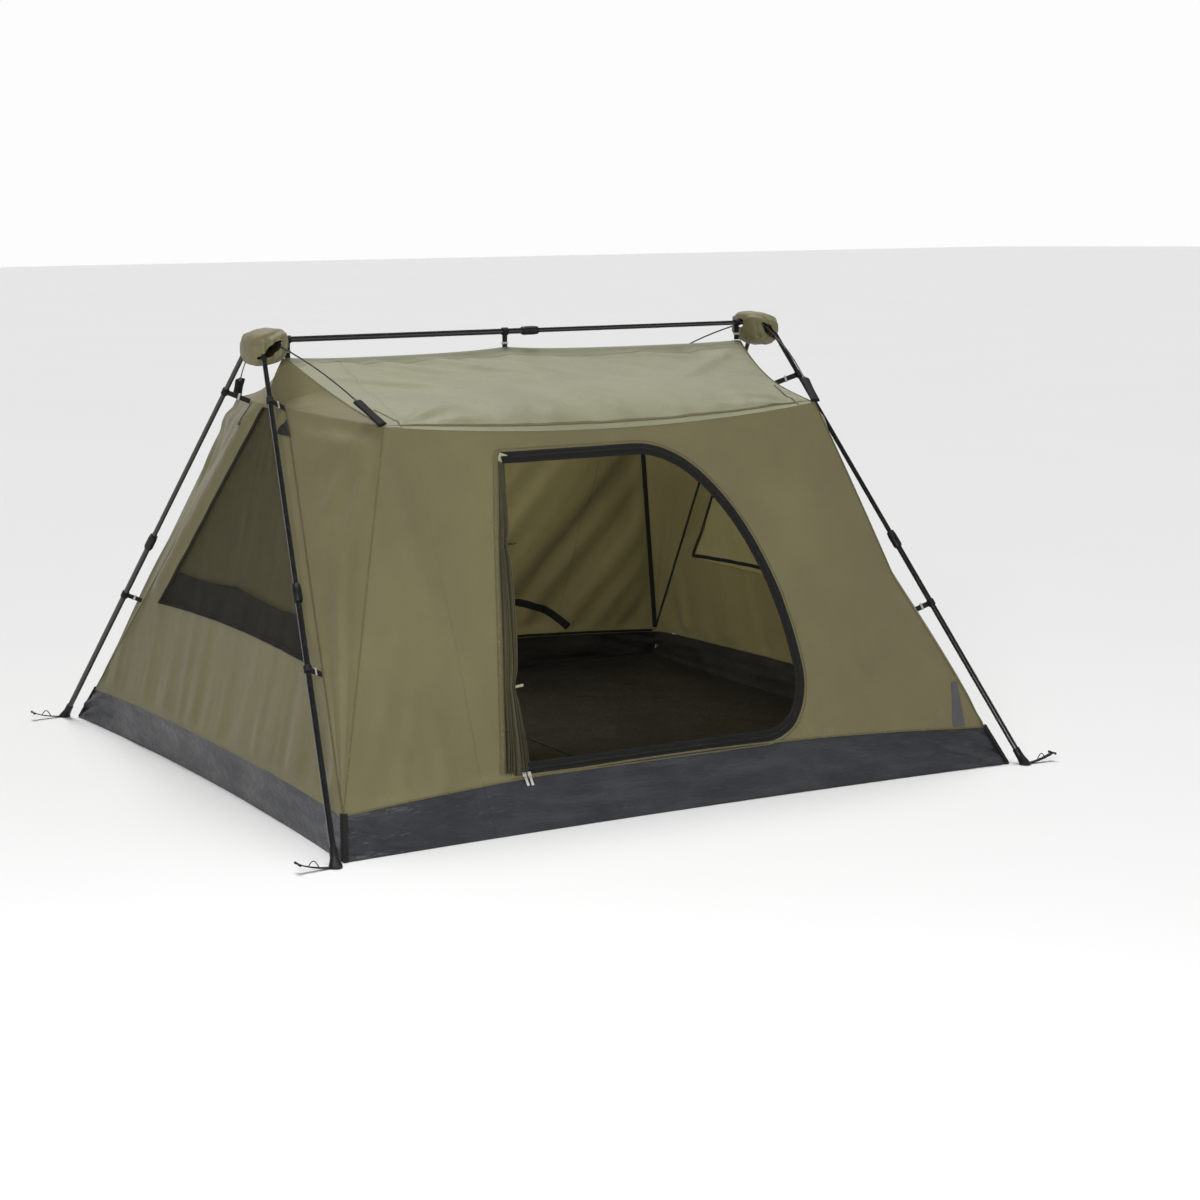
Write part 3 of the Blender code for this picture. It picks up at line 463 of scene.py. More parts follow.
def wall_normal(side_y):
    return Vector((0, side_y * (SHOULDER.z - BASE.z), CORNER_Y_LOW - SHOULDER.y)).normalized()


def corner_x(z, side_x=-1, side_y=-1):
    """Half length at the corner seams. The front right one is drawn in, most of all half way up."""
    straight = SHOULDER.x + (SHOULDER.z - z) * (BASE.x - SHOULDER.x) / (SHOULDER.z - BASE.z)
    if side_x < 0 or side_y > 0:
        return straight
    above = (z - 0.20) / 0.40 if z < 0.60 else (SHOULDER.z - z) / (SHOULDER.z - 0.60)
    return straight - CORNER_BOW * max(0.0, min(1.0, above)) ** 1.3


def end_x(z):
    return BASE.x - (z - BASE.z) * (BASE.x - NECK.x) / (NECK.z - BASE.z)


def seam_y(z):
    """Half width of the end wall at the seams beside the window."""
    return NECK.y + (NECK.z - z) * (BASE.y - NECK.y) / (NECK.z - BASE.z)


def eave_point(x, side_y):
    bend = arch(max(-1.0, min(1.0, x / SHOULDER.x)))
    return Vector((x, side_y * (SHOULDER.y + EAVE_BELLY * bend), SHOULDER.z - EAVE_SAG * bend))


def ridge_z(x):
    """The ridge of the cloth, lifted where the straps hold it."""
    lift = 0.009 * math.exp(-abs(x + RIDGE_STRAP_X) / 0.09) + 0.006 * math.exp(-abs(x - RIDGE_STRAP_X) / 0.09)
    return RIDGE_SAG_Z + lift + 0.016 * math.exp(-abs(x - MIDDLE_STRAP_X) / 0.15)


def tub_top(x):
    return BASE.z + TUB_RISE_FRONT * arch(x / 1.15)


def wall_high(x):
    return eave_point(x, 1).z


def wall_relief(x, z, side_y):
    """Wrinkles of the front or back wall, outwards."""
    edge = ease(corner_x(z, x, side_y) - abs(x), 0.07) * ease(z - tub_top(x), 0.04) * ease(wall_high(x) - z, 0.05)
    low, high = math.exp(-max(0.0, z - tub_top(x)) / 0.20), math.exp(-max(0.0, wall_high(x) - z) / 0.13)
    if side_y < 0:
        form = 0.010 * rough(x * 1.6, z * 1.7, 3.1) + 0.0120 * rough(x * 9.5 + z * 2, z * 1.2, 5.3) * (low + 0.12)
        form += 0.006 * rough(x * 24, z * 1.6, 8.3) * low
        form += 0.0060 * rough(x * 12 - z * 4, z * 1.5, 7.7) * high
        form += sum(crease(x, z, *fold) for fold in FRONT_CREASES)
    else:
        across, along = x * 0.87 - z * 0.5, x * 0.5 + z * 0.87
        form = 0.022 * rough(across * 5.2, along * 1.1, 2.4) + 0.012 * rough(across * 12, along * 1.5, 9.1)
        form += 0.006 * rough(x * 1.5, z * 1.5, 4.4) + 0.005 * rough(x * 10, z * 1.5, 6.3) * low
    return sizes().wrinkles * edge * form


def wall_place(x, z, side_y, lift=0.0):
    return Vector((x, side_y * wall_y(z), z)) + wall_normal(side_y) * (wall_relief(x, z, side_y) + lift)


def roof_edge_x(across):
    """Half length of the roof, drawn in between the ridge and the shoulders."""
    straight = RIDGE_FABRIC_X + (SHOULDER.x - RIDGE_FABRIC_X) * across
    return straight - 0.024 * math.sin(math.pi * across) ** 0.8


def roof_relief(x, across, side_y):
    edge = ease(roof_edge_x(across) - abs(x), 0.05) * ease(1 - across, 0.10) * ease(across - 0.01, 0.07)
    slant = x * 0.75 - across * 0.52 * (1 if side_y < 0 else -1)
    form = 0.009 * rough(x * 2.3, across * 1.6, 1.7 + side_y) + 0.010 * rough(slant * 9, across * 1.3 + x, 3.9)
    form += 0.0045 * rough(slant * 21, across * 2.5 + x, 6.9)
    form += 0.0060 * rough(x * 15, across * 2.2, 5.5 + side_y) * ease(across - 0.72, 0.2)
    flip = 1 if side_y < 0 else -1
    form += sum(crease(x * flip, across, *fold) for fold in ROOF_CREASES)
    return sizes().wrinkles * edge * form


def roof_place(x, across, side_y, lift=0.0):
    """Point of the roof, at a share of the way from the ridge to the eave."""
    reach = roof_edge_x(across)
    share = max(-1.0, min(1.0, x / reach))
    seam = eave_point(SHOULDER.x * share, side_y)
    ridge = Vector((x, 0, ridge_z(x)))
    point = ridge.lerp(Vector((x, seam.y, seam.z)), across)
    sag = 0.026 * math.sin(math.pi * across) * math.exp(-(reach - abs(x)) / 0.10)
    bulge = ROOF_BULGE * 9.48 * across ** 3 * (1 - across) * arch(share)
    normal = ROOF_UP * Vector((0, side_y, 1))
    return point + Vector((0, 0, bulge - sag)) + normal * (roof_relief(x, across, side_y) + lift)


def end_normal(side_x):
    return Vector((side_x * (NECK.z - BASE.z), 0, BASE.x - NECK.x)).normalized()


def end_relief(y, z, side_x):
    edge = ease(z - BASE.z - TUB_RISE_END, 0.04) * ease(NECK.z + 0.02 - z, 0.08) * ease(seam_y(z) - abs(y), 0.03)
    low = math.exp(-max(0.0, z - 0.12) / 0.16)
    form = 0.008 * rough(y * 1.9, z * 2.0, 3.3 * side_x)
    form += 0.013 * rough(y * 11, z * 1.1, 6.1 + side_x) * (low + 0.35)
    form += 0.007 * rough(y * 22, z * 1.3, 2.1 + side_x) * (low + 0.15)
    half = window_half(z)
    if z > WINDOW_SILL and abs(y) > half:
        band = (abs(y) - half) / max(0.02, seam_y(z) - half)
        form += 0.017 * math.sin(math.pi * min(1.0, band)) * ease(z - WINDOW_SILL, 0.1)
    return sizes().wrinkles * edge * form


def end_place(y, z, side_x, lift=0.0):
    return Vector((side_x * end_x(z), y, z)) + end_normal(side_x) * (end_relief(y, z, side_x) + lift)


def window_half(z):
    """Half width of the window's opening, carried on below the sill."""
    slope = (WINDOW_HALF_SILL - WINDOW_HALF_TOP) / (WINDOW_TOP - WINDOW_SILL)
    bow = 0.016 * math.sin(math.pi * max(0.0, min(1.0, (WINDOW_TOP - z) / (WINDOW_TOP - WINDOW_SILL))))
    return WINDOW_HALF_TOP + (WINDOW_TOP - z) * slope - bow


def sill_z(share):
    """Height of the window's sill, from its middle to its corner."""
    return WINDOW_SILL + SILL_RISE * arch(share)


def gusset_normal(side_x, side_y):
    flip = Vector((side_x, side_y, 1))
    foot, top, neck = (Vector(p) * flip for p in (BASE, SHOULDER, NECK))
    normal = (top - foot).cross(neck - foot).normalized()
    return normal if normal.dot(Vector((side_x, side_y, 0))) > 0 else -normal


def gusset_place(rise, across, side_x, side_y, lift=0.0):
    """Point of the gusset, from the seam beside the window to the corner seam."""
    low = BASE.z + TUB_RISE_END * arch(1.0)
    z, corner_z = low + (NECK.z - low) * rise, low + (SHOULDER.z - low) * rise
    inner = Vector((side_x * end_x(z), side_y * seam_y(z), z))
    outer = Vector((side_x * corner_x(corner_z, side_x, side_y), side_y * wall_y(corner_z), corner_z))
    form = 0.010 * rough(across * 1.5, rise * 2.4, 1.3 + side_x * 2 + side_y)
    form += 0.008 * rough(across * 5, rise * 1.6, 4.8)
    form += sum(crease(across, rise, *fold) for fold in GUSSET_CREASES)
    edge = ease(across, 0.25) * ease(1 - across, 0.2) * ease(rise, 0.1) * ease(1 - rise, 0.06)
    out = gusset_normal(side_x, side_y) * (sizes().wrinkles * edge * form + lift)
    return inner.lerp(outer, across) + out


def crown_place(share, side_x, side_y):
    """Edge where the end wall meets the roof, from the ridge to the shoulder."""
    return roof_place(side_x * roof_edge_x(share), share, side_y)


def tub_relief(run, height, seed):
    """Creases of the groundsheet; run is metres from the middle of its side."""
    corner = math.exp(-(1.15 - abs(run)) / 0.16)
    form = 0.008 * rough(run * 4, height * 1.5, seed) + 0.006 * rough(run * 3.5 + height, height * 4, seed + 2)
    form += 0.004 * rough(run * 9 + height * 3, height * 3, seed + 3)
    form += 0.020 * corner * rough(run * 16 + height * 5, height * 2.5 + run * 3, seed + 4)
    return sizes().wrinkles * form * ease(height, 0.15) * ease(1 - height, 0.2) * ease(1.19 - abs(run), 0.03)


def tub_side_place(x, height, side_y, lift=0.0):
    reach = TUB_X + (BASE.x - TUB_X) * height
    share = x / reach
    top = BASE.z + TUB_RISE_FRONT * arch(share)
    low_y = TUB_Y - TUB_PULL_Y * arch(share)
    y = low_y + (wall_y(top) - low_y) * height
    out = tub_relief(x, height, 2.2 + side_y) + lift
    return Vector((x, side_y * y, 0)) + wall_normal(side_y) * out + Vector((0, 0, top * height + 0.001))


def tub_end_place(y, height, side_x, lift=0.0):
    reach = TUB_Y + (BASE.y - TUB_Y) * height
    share = y / reach
    top = BASE.z + TUB_RISE_END * arch(share)
    low_x = TUB_X - TUB_PULL_X * arch(share)
    x = low_x + (end_x(top) - low_x) * height
    out = tub_relief(y, height, 7.4 + side_x) + lift
    return Vector((side_x * x, y, 0)) + end_normal(side_x) * out + Vector((0, 0, top * height + 0.001))


def hinge_x(z):
    """The door's hinge edge at a height."""
    return DOOR_HINGE_LOW_X + (DOOR_HINGE_TOP_X - DOOR_HINGE_LOW_X) * (z - DOOR_SILL) / (DOOR_TOP - DOOR_SILL)


def door_outline(count):
    """The door's opening as evenly spaced (x, z): hinge edge, flat top, round nose, low corner and sill."""
    points = [(DOOR_HINGE_LOW_X, DOOR_SILL), (DOOR_HINGE_TOP_X, DOOR_TOP), (DOOR_FLAT_TOP_X, DOOR_TOP)]
    for k in range(1, 41):
        angle = math.pi / 2 * k / 40
        points.append((DOOR_FLAT_TOP_X + (DOOR_RIGHT_X - DOOR_FLAT_TOP_X) * math.sin(angle),
                       DOOR_WIDEST_Z + (DOOR_TOP - DOOR_WIDEST_Z) * math.cos(angle)))
    for k in range(1, 25):
        angle = math.pi / 2 * k / 24
        points.append((DOOR_RIGHT_X - DOOR_LOW_RADIUS * (1 - math.cos(angle)),
                       DOOR_WIDEST_Z - (DOOR_WIDEST_Z - DOOR_SILL) * math.sin(angle)))
    points.append(points[0])
    return even_path([Vector(p) for p in points], count)


def even_path(points, count):
    """count + 1 points evenly spaced along a line of points."""
    lengths = [0.0]
    for a, b in zip(points, points[1:]):
        lengths.append(lengths[-1] + (b - a).length)
    spaced, k = [], 0
    for n in range(count + 1):
        goal = lengths[-1] * n / count
        while k < len(points) - 2 and lengths[k + 1] < goal:
            k += 1
        span = lengths[k + 1] - lengths[k]
        spaced.append(points[k].lerp(points[k + 1], (goal - lengths[k]) / span if span else 0.0))
    return spaced


def line_length(points):
    return sum((b - a).length for a, b in zip(points, points[1:]))


def path_at(path, share):
    """Point and direction at a share of the way along evenly spaced points."""
    place = max(0.0, min(1.0, share)) * (len(path) - 1)
    k = min(int(place), len(path) - 2)
    ahead = path[min(k + 2, len(path) - 1)] - path[max(k - 1, 0)]
    return path[k].lerp(path[k + 1], place - k), ahead.normalized()


# ---- making pieces -------------------------------------------------------------------------------------------

def add_piece(name, mesh, *finish_names, slot):
    piece = bpy.data.objects.new(name, mesh)
    bpy.context.scene.collection.objects.link(piece)
    for finish in finish_names:
        piece.data.materials.append(finishes()[finish])
    return piece


def smooth_mesh(name, bm):
    mesh = bpy.data.meshes.new(name)
    bm.to_mesh(mesh)
    bm.free()
    for polygon in mesh.polygons:
        polygon.use_smooth = True
    return mesh


def cloth_piece(name, segments, place, outwards, finish, slot="canopy", inside=None, thickness=None, hole=None,
                declare="hung", map_across=None, flat=None):
    """A sheet: a grid laid over place(u, v), thickened inwards, with its map in metres."""
    bm = bmesh.new()
    bmesh.ops.create_grid(bm, x_segments=segments[0], y_segments=segments[1], size=1.0)
    where = {vert: ((vert.co.x + 1) / 2, (vert.co.y + 1) / 2) for vert in bm.verts}
    if hole:
        gone = [f for f in bm.faces if hole(sum(where[v][0] for v in f.verts) / 4,
                                            sum(where[v][1] for v in f.verts) / 4)]
        bmesh.ops.delete(bm, geom=gone, context="FACES")
    for vert in bm.verts:
        vert.co = place(*where[vert])
    wide = max(line_length([place(u, v) for u in (0, 0.5, 1)]) for v in (0, 1))
    tall = max(line_length([place(u, v) for v in (0, 0.5, 1)]) for u in (0, 1))
    chart = bm.loops.layers.uv.new("UVMap")
    for face in bm.faces:
        for loop in face.loops:
            u, v = where[loop.vert]
            loop[chart].uv = (u * wide, v * tall) if map_across is None else (u * map_across, v * 2 - 1)
    bmesh.ops.remove_doubles(bm, verts=bm.verts, dist=0.00002)
    bmesh.ops.dissolve_degenerate(bm, edges=bm.edges, dist=0.00002)
    bm.normal_update()
    facing = sum(((f.normal.dot(outwards(f.calc_center_median()))) * f.calc_area() for f in bm.faces), 0.0)
    if facing < 0:
        bmesh.ops.reverse_faces(bm, faces=bm.faces)
    for edge in bm.edges:
        edge.smooth = not edge.is_boundary
    area = sum(f.calc_area() for f in bm.faces)
    piece = add_piece(name, smooth_mesh(name, bm), finish, *([inside] if inside else []), slot=slot)
    solidify = piece.modifiers.new("Thickness", "SOLIDIFY")
    solidify.thickness = thickness or sizes().fabric
    solidify.offset = -1.0
    if inside:
        solidify.material_offset = 1
    if declare:
        wide, tall = flat or (wide, tall)
        tall = max(tall, area / wide)
    return piece


def ribbon(name, path, width, lift, finish="strap_tape", slot="webbing", thickness=0.0012, segments=None,
           crown=0.0):
    """A tape along path(share, off), which gives the point off metres to the side and the way up there."""
    def place(u, v):
        point, up = path(u, (v - 0.5) * width)
        return point + up * (lift + crown * arch(2 * v - 1))

    length = line_length([path(k / 12, 0)[0] for k in range(13)])
    count = segments or max(8, int(length / CELL))
    middle = path(0.5, 0)[1]
    return cloth_piece(name, (count, 4), place, lambda _: middle, finish, slot, thickness=thickness, declare=None,
                       map_across=length)


def add_block(bm, low, high, bevel, segments, matrix):
    """Adds a box between two corners with rounded edges, set in place by matrix."""
    made = bmesh.ops.create_cube(bm, size=1.0)["verts"]
    low, high = Vector(low), Vector(high)
    bmesh.ops.scale(bm, vec=high - low, verts=made)
    bmesh.ops.translate(bm, vec=(low + high) / 2, verts=made)
    bmesh.ops.transform(bm, matrix=matrix, verts=made)
    edges = [e for e in bm.edges if e.verts[0] in made]
    bmesh.ops.bevel(bm, geom=edges, offset=bevel, segments=segments, profile=0.5, affect="EDGES", material=-1)


def bevelled_block(name, low, high, matrix, finish, slot, bevel=0.002):
    bm = bmesh.new()
    add_block(bm, low, high, bevel, 3, matrix)
    return solid_piece(name, bm, finish, slot)


def solid_piece(name, bm, finish, slot, sharp=40):
    bmesh.ops.recalc_face_normals(bm, faces=bm.faces)
    mesh = smooth_mesh(name, bm)
    mesh.set_sharp_from_angle(angle=math.radians(sharp))
    return add_piece(name, mesh, finish, slot=slot)


def cord_tube(bm, points, radius, sides=10, flat=1.0, across=None):
    """Adds a capped tube through points: a circle is extruded from point to point."""
    made = []
    for k, point in enumerate(points):
        ahead = (points[min(k + 1, len(points) - 1)] - points[max(k - 1, 0)]).normalized()
        side = across or (Vector((0, 0, 1)) if abs(ahead.z) < 0.9 else Vector((1, 0, 0)))
        side = (side - side.dot(ahead) * ahead).normalized()
        turn = Matrix((side, ahead.cross(side), ahead)).transposed().to_4x4()
        turn.translation = point
        r = radius[k] if isinstance(radius, (list, tuple)) else radius
        squeeze = Matrix.Diagonal((1.0, flat, 1.0, 1.0))
        loop = bmesh.ops.create_circle(bm, cap_ends=k in (0, len(points) - 1), segments=sides, radius=r,
                                       matrix=turn @ squeeze)["verts"]
        made.append(loop)
    for low, high in zip(made, made[1:]):
        edges = [e for e in bm.edges if all(v in low for v in e.verts) or all(v in high for v in e.verts)]
        bmesh.ops.bridge_loops(bm, edges=edges)
    return made


def tube_piece(name, points, radius, finish, slot, sides=10, flat=1.0, across=None, sharp=50):
    bm = bmesh.new()
    cord_tube(bm, points, radius, sides, flat, across)
    return solid_piece(name, bm, finish, slot, sharp)


# ---- how pieces move -----------------------------------------------------------------------------------------

def bunch(piece):
    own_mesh(piece)
    return piece


def ride_leg(piece, side_x, side_y):
    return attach(piece, corner_body(side_x, side_y))


def end_body(side_x):
    return "canopy" if side_x < 0 else "right_end"


def hang_door(piece):
    """Rides with the front left leg, with a mesh of its own."""
    return bunch(ride_leg(piece, -1, -1))


def corner_body(side_x, side_y):
    return f"leg_{'front' if side_y < 0 else 'back'}_{'left' if side_x < 0 else 'right'}"


def fold_with_end(piece, side_x, side_y):
    """Bakes the end wall piece's place into its mesh; the line across the corner is worked out but not used."""
    start = Vector((side_x, 0, 0.90))
    reach = (Vector((0, side_y * SHOULDER.y, SHOULDER.z)) - Vector((0, 0, 0.90))).dot(wall_normal(side_y))
    end = start + wall_normal(side_y) * reach
    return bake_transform(piece, end_body(side_x), corner_body(side_x, side_y), start, end)


def in_lengths(make, side_y, *nodes):
    """Makes a long panel's left, middle and right lengths with make(part, side_x) and hangs them."""
    for part, side_x in LENGTHS:
        piece = make(part, side_x)
        ride_leg(piece, side_x or -1, side_y)
        if nodes:
            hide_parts(*nodes)
        if side_x == 0:
            bunch(piece)


def columns(side_x, outer):
    """Number of mesh cells along one length of a long panel."""
    return int((2 * SPLIT_X if side_x == 0 else outer) / CELL)


def length_x(side_x, u, reach):
    """x at a share of one length of a long panel whose half length is reach."""
    if side_x == 0:
        return SPLIT_X * (2 * u - 1)
    near = SPLIT_X - 0.004
    return side_x * (near + (reach - near) * u)


def tucked(side_x, x):
    """The outer lengths pass under the middle one at the split."""
    return -0.0012 if side_x and abs(x) < SPLIT_X - 0.001 else 0.0


# ---- operators -----------------------------------------------------------------------------------------------

class TentOperator(bpy.types.Operator):
    bl_options = {"REGISTER"}

    def execute(self, context):
        self.make(context)
        return {"FINISHED"}


class TENT_OT_stage(TentOperator):
    """Camera, soft studio light, and a plain pale floor"""
    bl_idname = "tent.stage"
    bl_label = "Stage"

    def make(self, context):
        scene = context.scene
        scene.view_settings.view_transform = "Standard"
        camera = self.placed(scene, "camera", bpy.data.cameras.new("camera"))
        scene.camera = camera
        camera.data.sensor_width, camera.data.lens, camera.data.clip_end = 36.0, CAMERA_LENS, 60.0
        azimuth, elevation = math.radians(CAMERA_AZIMUTH), math.radians(CAMERA_ELEVATION)
        back = Vector((math.sin(azimuth) * math.cos(elevation), -math.cos(azimuth) * math.cos(elevation),
                       math.sin(elevation)))
        camera.location = CAMERA_PLACE
        camera.rotation_euler = self.turned(back)
        self.ground(scene)
        self.sky(scene)
        overhead = self.placed(scene, "overhead", bpy.data.lights.new("overhead", "SUN"))
        overhead.data.energy, overhead.data.angle = OVERHEAD_POWER, math.radians(OVERHEAD_SPREAD)
        overhead.rotation_euler = self.turned(OVERHEAD_FROM)
        for name, place, target, size, power, seen in STAGE_LIGHTS:
            light = self.placed(scene, name, bpy.data.lights.new(name, "AREA"))
            light.data.shape, light.data.size, light.data.energy = "DISK", size, power
            light.visible_camera = seen
            light.location = place
            light.rotation_euler = self.turned(Vector(place) - Vector(target))

    def placed(self, scene, name, data):
        thing = bpy.data.objects.new(name, data)
        scene.collection.objects.link(thing)
        return thing

    def turned(self, back):
        return back.to_track_quat("Z", "Y").to_euler()

    def ground(self, scene):
        """Plain pale floor."""
        bm = bmesh.new()
        bmesh.ops.create_grid(bm, x_segments=1, y_segments=1, size=GROUND_HALF)
        mesh = smooth_mesh("floor", bm)
        floor = self.placed(scene, "ground", mesh)
        pale, tree, shader, places = new_finish("pale_ground", (GROUND_TONE,) * 3, 0.9, Specular_IOR_Level=0.1)
        spot = noise_of(tree, places["Object"], 0.6, 2.0)
        dark, light = ((*(GROUND_TONE + step,) * 3, 1) for step in (-0.01, 0.01))
        wire(tree, shader, Base_Color=mixed(tree, spot, dark, light))
        mesh.materials.append(pale)
        floor.location.z = -GROUND_DROP

    def sky(self, scene):
        """White near the horizon, dimmer overhead and to the left."""
        world = bpy.data.worlds.new("studio")
        scene.world = world
        world.use_nodes = True
        tree = world.node_tree
        parts = node(tree, "SeparateXYZ", Vector=node(tree, "TexCoord").outputs["Generated"]).outputs
        glow = ranged(tree, reckoned(tree, "ABSOLUTE", parts["Z"]), 0.16, 0.46, 0.98, 0.16)
        glow = reckoned(tree, "MULTIPLY", glow, ranged(tree, parts["X"], -0.75, -0.05, 0.45, 1.0))
        sky = tree.nodes["Background"]
        sky.inputs["Color"].default_value = (1.0, 1.0, 1.0, 1.0)
        tree.links.new(glow, sky.inputs["Strength"])


class TENT_OT_frame(TentOperator):
    """Painted steel, mouldings and webbing on the frame's own parts"""
    bl_idname = "tent.frame"
    bl_label = "Frame finishes"

    def make(self, context):
        for name, part in frame["nodes"].items():
            if name.startswith(("leg_upper", "leg_lower", "ridge_tube", "eave_arm")):
                finish = "painted_steel"
            elif name.startswith(("clip", "ridge_strap")):
                finish = "clip_tape"
            else:
                finish = "black_plastic"
            part.data.materials.clear()
            part.data.materials.append(finishes()[finish])


class TENT_OT_roof(TentOperator):
    """The roof's two slopes in three lengths, and the reinforced ridge"""
    bl_idname = "tent.roof"
    bl_label = "Roof"

    def make(self, context):
        for face, side_y in FACES.items():
            def make(part, side_x):
                def place(u, v):
                    across = RIDGE_BAND - 0.010 + (1.010 - RIDGE_BAND) * v
                    x = length_x(side_x, u, roof_edge_x(across))
                    return roof_place(x, across, side_y, tucked(side_x, x))
                return cloth_piece(f"roof_{face}_{part}", (columns(side_x, 0.17), 46), place,
                                   lambda p: Vector((0, side_y, 2)),
                                   "roof_cloth", "roof", inside="lining")
            in_lengths(make, side_y, "roof")
        for part, side_x in LENGTHS:
            def place(u, v):
                across = 2 * v - 1
                share = abs(across) * RIDGE_BAND
                x = length_x(side_x, u, roof_edge_x(share))
                return roof_place(x, share, -1 if across < 0 else 1, 0.0009 + tucked(side_x, x))
            piece = cloth_piece(f"ridge_band_{part}", (columns(side_x, 0.17), 14), place,
                                lambda p: Vector((0, 0, 1)), "roof_cloth", "roof", inside="lining")
            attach(piece, end_body(side_x or -1))
            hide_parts("roof")
            if side_x == 0:
                bunch(piece)


class TENT_OT_walls(TentOperator):
    """Front wall round the door, and the back wall"""
    bl_idname = "tent.walls"
    bl_label = "Long walls"

    def make(self, context):
        for face, side_y in FACES.items():
            def make(part, side_x):
                def place(u, v):
                    bottom = length_x(side_x, u, corner_x(0.13))
                    top = length_x(side_x, u, corner_x(1.165))
                    low, high = tub_top(bottom) - 0.004, wall_high(top) - 0.001
                    z = low + (high - low) * v
                    x = length_x(side_x, u, corner_x(z, side_x, side_y))
                    return wall_place(x, z, side_y, tucked(side_x, x))

                def place_round_door(u, v):
                    inner = path_at(self.door, u)[0]
                    outer = path_at(self.border, u)[0]
                    x, z = inner.lerp(outer, v)
                    return wall_place(x, z, side_y)
                door = side_x == 0 and side_y < 0
                segments = (len(self.door) - 1, 22) if door else (columns(side_x, 0.46), 84)
                return cloth_piece(f"wall_{face}_{part}", segments, place_round_door if door else place,
                                   lambda p: wall_normal(side_y), "wall_cloth", inside="lining",
                                   flat=(2 * SPLIT_X, FRONT_WALL_TALL) if door else None)
            if side_y < 0:
                self.find_border()
            in_lengths(make, side_y, f"{face}_wall")

    def find_border(self):
        """Door outline and the border of the middle length, point for point at the same angles."""
        self.door = door_outline(480)
        centre = Vector((0.0, 0.62))
        border = []
        for point in self.door:
            ray = point - centre
            best = 1e9
            if abs(ray.x) > 1e-6:
                best = (SPLIT_X * (1 if ray.x > 0 else -1) - centre.x) / ray.x
            if abs(ray.y) > 1e-6:
                for _ in range(3):
                    x = centre.x + ray.x * min(best, 20)
                    x = max(-SPLIT_X, min(SPLIT_X, x))
                    edge_z = wall_high(x) - 0.001 if ray.y > 0 else tub_top(x) - 0.004
                    best = min(best, (edge_z - centre.y) / ray.y)
            border.append(centre + ray * best)
        self.border = self.squared(border, centre)

    def squared(self, border, centre):
        """Moves the nearest points of the border onto its four corners."""
        corners = [Vector((x, z)) for x in (-SPLIT_X, SPLIT_X)
                   for z in (tub_top(x) - 0.004, wall_high(x) - 0.001)]
        for corner in corners:
            nearest = min(range(1, len(border) - 1), key=lambda k: (border[k] - corner).length)
            border[nearest] = corner
        return border


class TENT_OT_end_walls(TentOperator):
    """End walls, each in two halves, with the window's opening and the gussets"""
    bl_idname = "tent.end_walls"
    bl_label = "End walls"

    WINDOW_U, SEAM_U = 0.5, 0.68
    SILL_V, TOP_V, NECK_V = 0.32, 0.86, 0.88

    def make(self, context):
        for side, side_x in SIDES.items():
            for face, side_y in FACES.items():
                def place(u, v):
                    return self.half_place(u, v, side_x, side_y)

                def hole(u, v):
                    return u < self.WINDOW_U and self.SILL_V < v < self.TOP_V
                piece = cloth_piece(f"end_wall_{side}_{face}", (100, 100), place,
                                    lambda p: Vector((side_x, side_y * 0.2, 0)), "wall_cloth", inside="lining",
                                    hole=hole)
                fold_with_end(piece, side_x, side_y)
                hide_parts(f"end_wall_{side}")

    def half_place(self, u, v, side_x, side_y):
        low = BASE.z + TUB_RISE_END * arch(min(1.0, u / self.SEAM_U)) - 0.004
        sill = sill_z(min(1.0, u / self.WINDOW_U))
        if v <= self.SILL_V:
            z = low + (sill - low) * v / self.SILL_V
        elif v <= self.TOP_V:
            z = sill + (WINDOW_TOP - sill) * (v - self.SILL_V) / (self.TOP_V - self.SILL_V)
        else:
            z = WINDOW_TOP + (NECK.z - WINDOW_TOP) * min(1.0, (v - self.TOP_V) / (self.NECK_V - self.TOP_V))
        if u <= self.WINDOW_U:
            y = min(window_half(z), seam_y(z)) * u / self.WINDOW_U
        else:
            half = window_half(z)
            y = half + (seam_y(z) - half) * min(1.0, (u - self.WINDOW_U) / (self.SEAM_U - self.WINDOW_U))
        outer = (u - self.SEAM_U) / (1 - self.SEAM_U)
        if u <= self.SEAM_U:
            point = end_place(side_y * y, z, side_x)
        else:
            point = gusset_place((z - BASE.z) / (NECK.z - BASE.z), outer, side_x, side_y)
        if v > self.NECK_V:
            share = 0.5 * u / self.SEAM_U if u <= self.SEAM_U else 0.5 + 0.5 * outer
            lift = (v - self.NECK_V) / (1 - self.NECK_V)
            crown = crown_place(share, side_x, side_y)
            bow = Vector((side_x, 0, 0)) * 0.010 * math.sin(math.pi * lift) * (1 - share)
            point = point.lerp(crown, lift) + bow
        return point


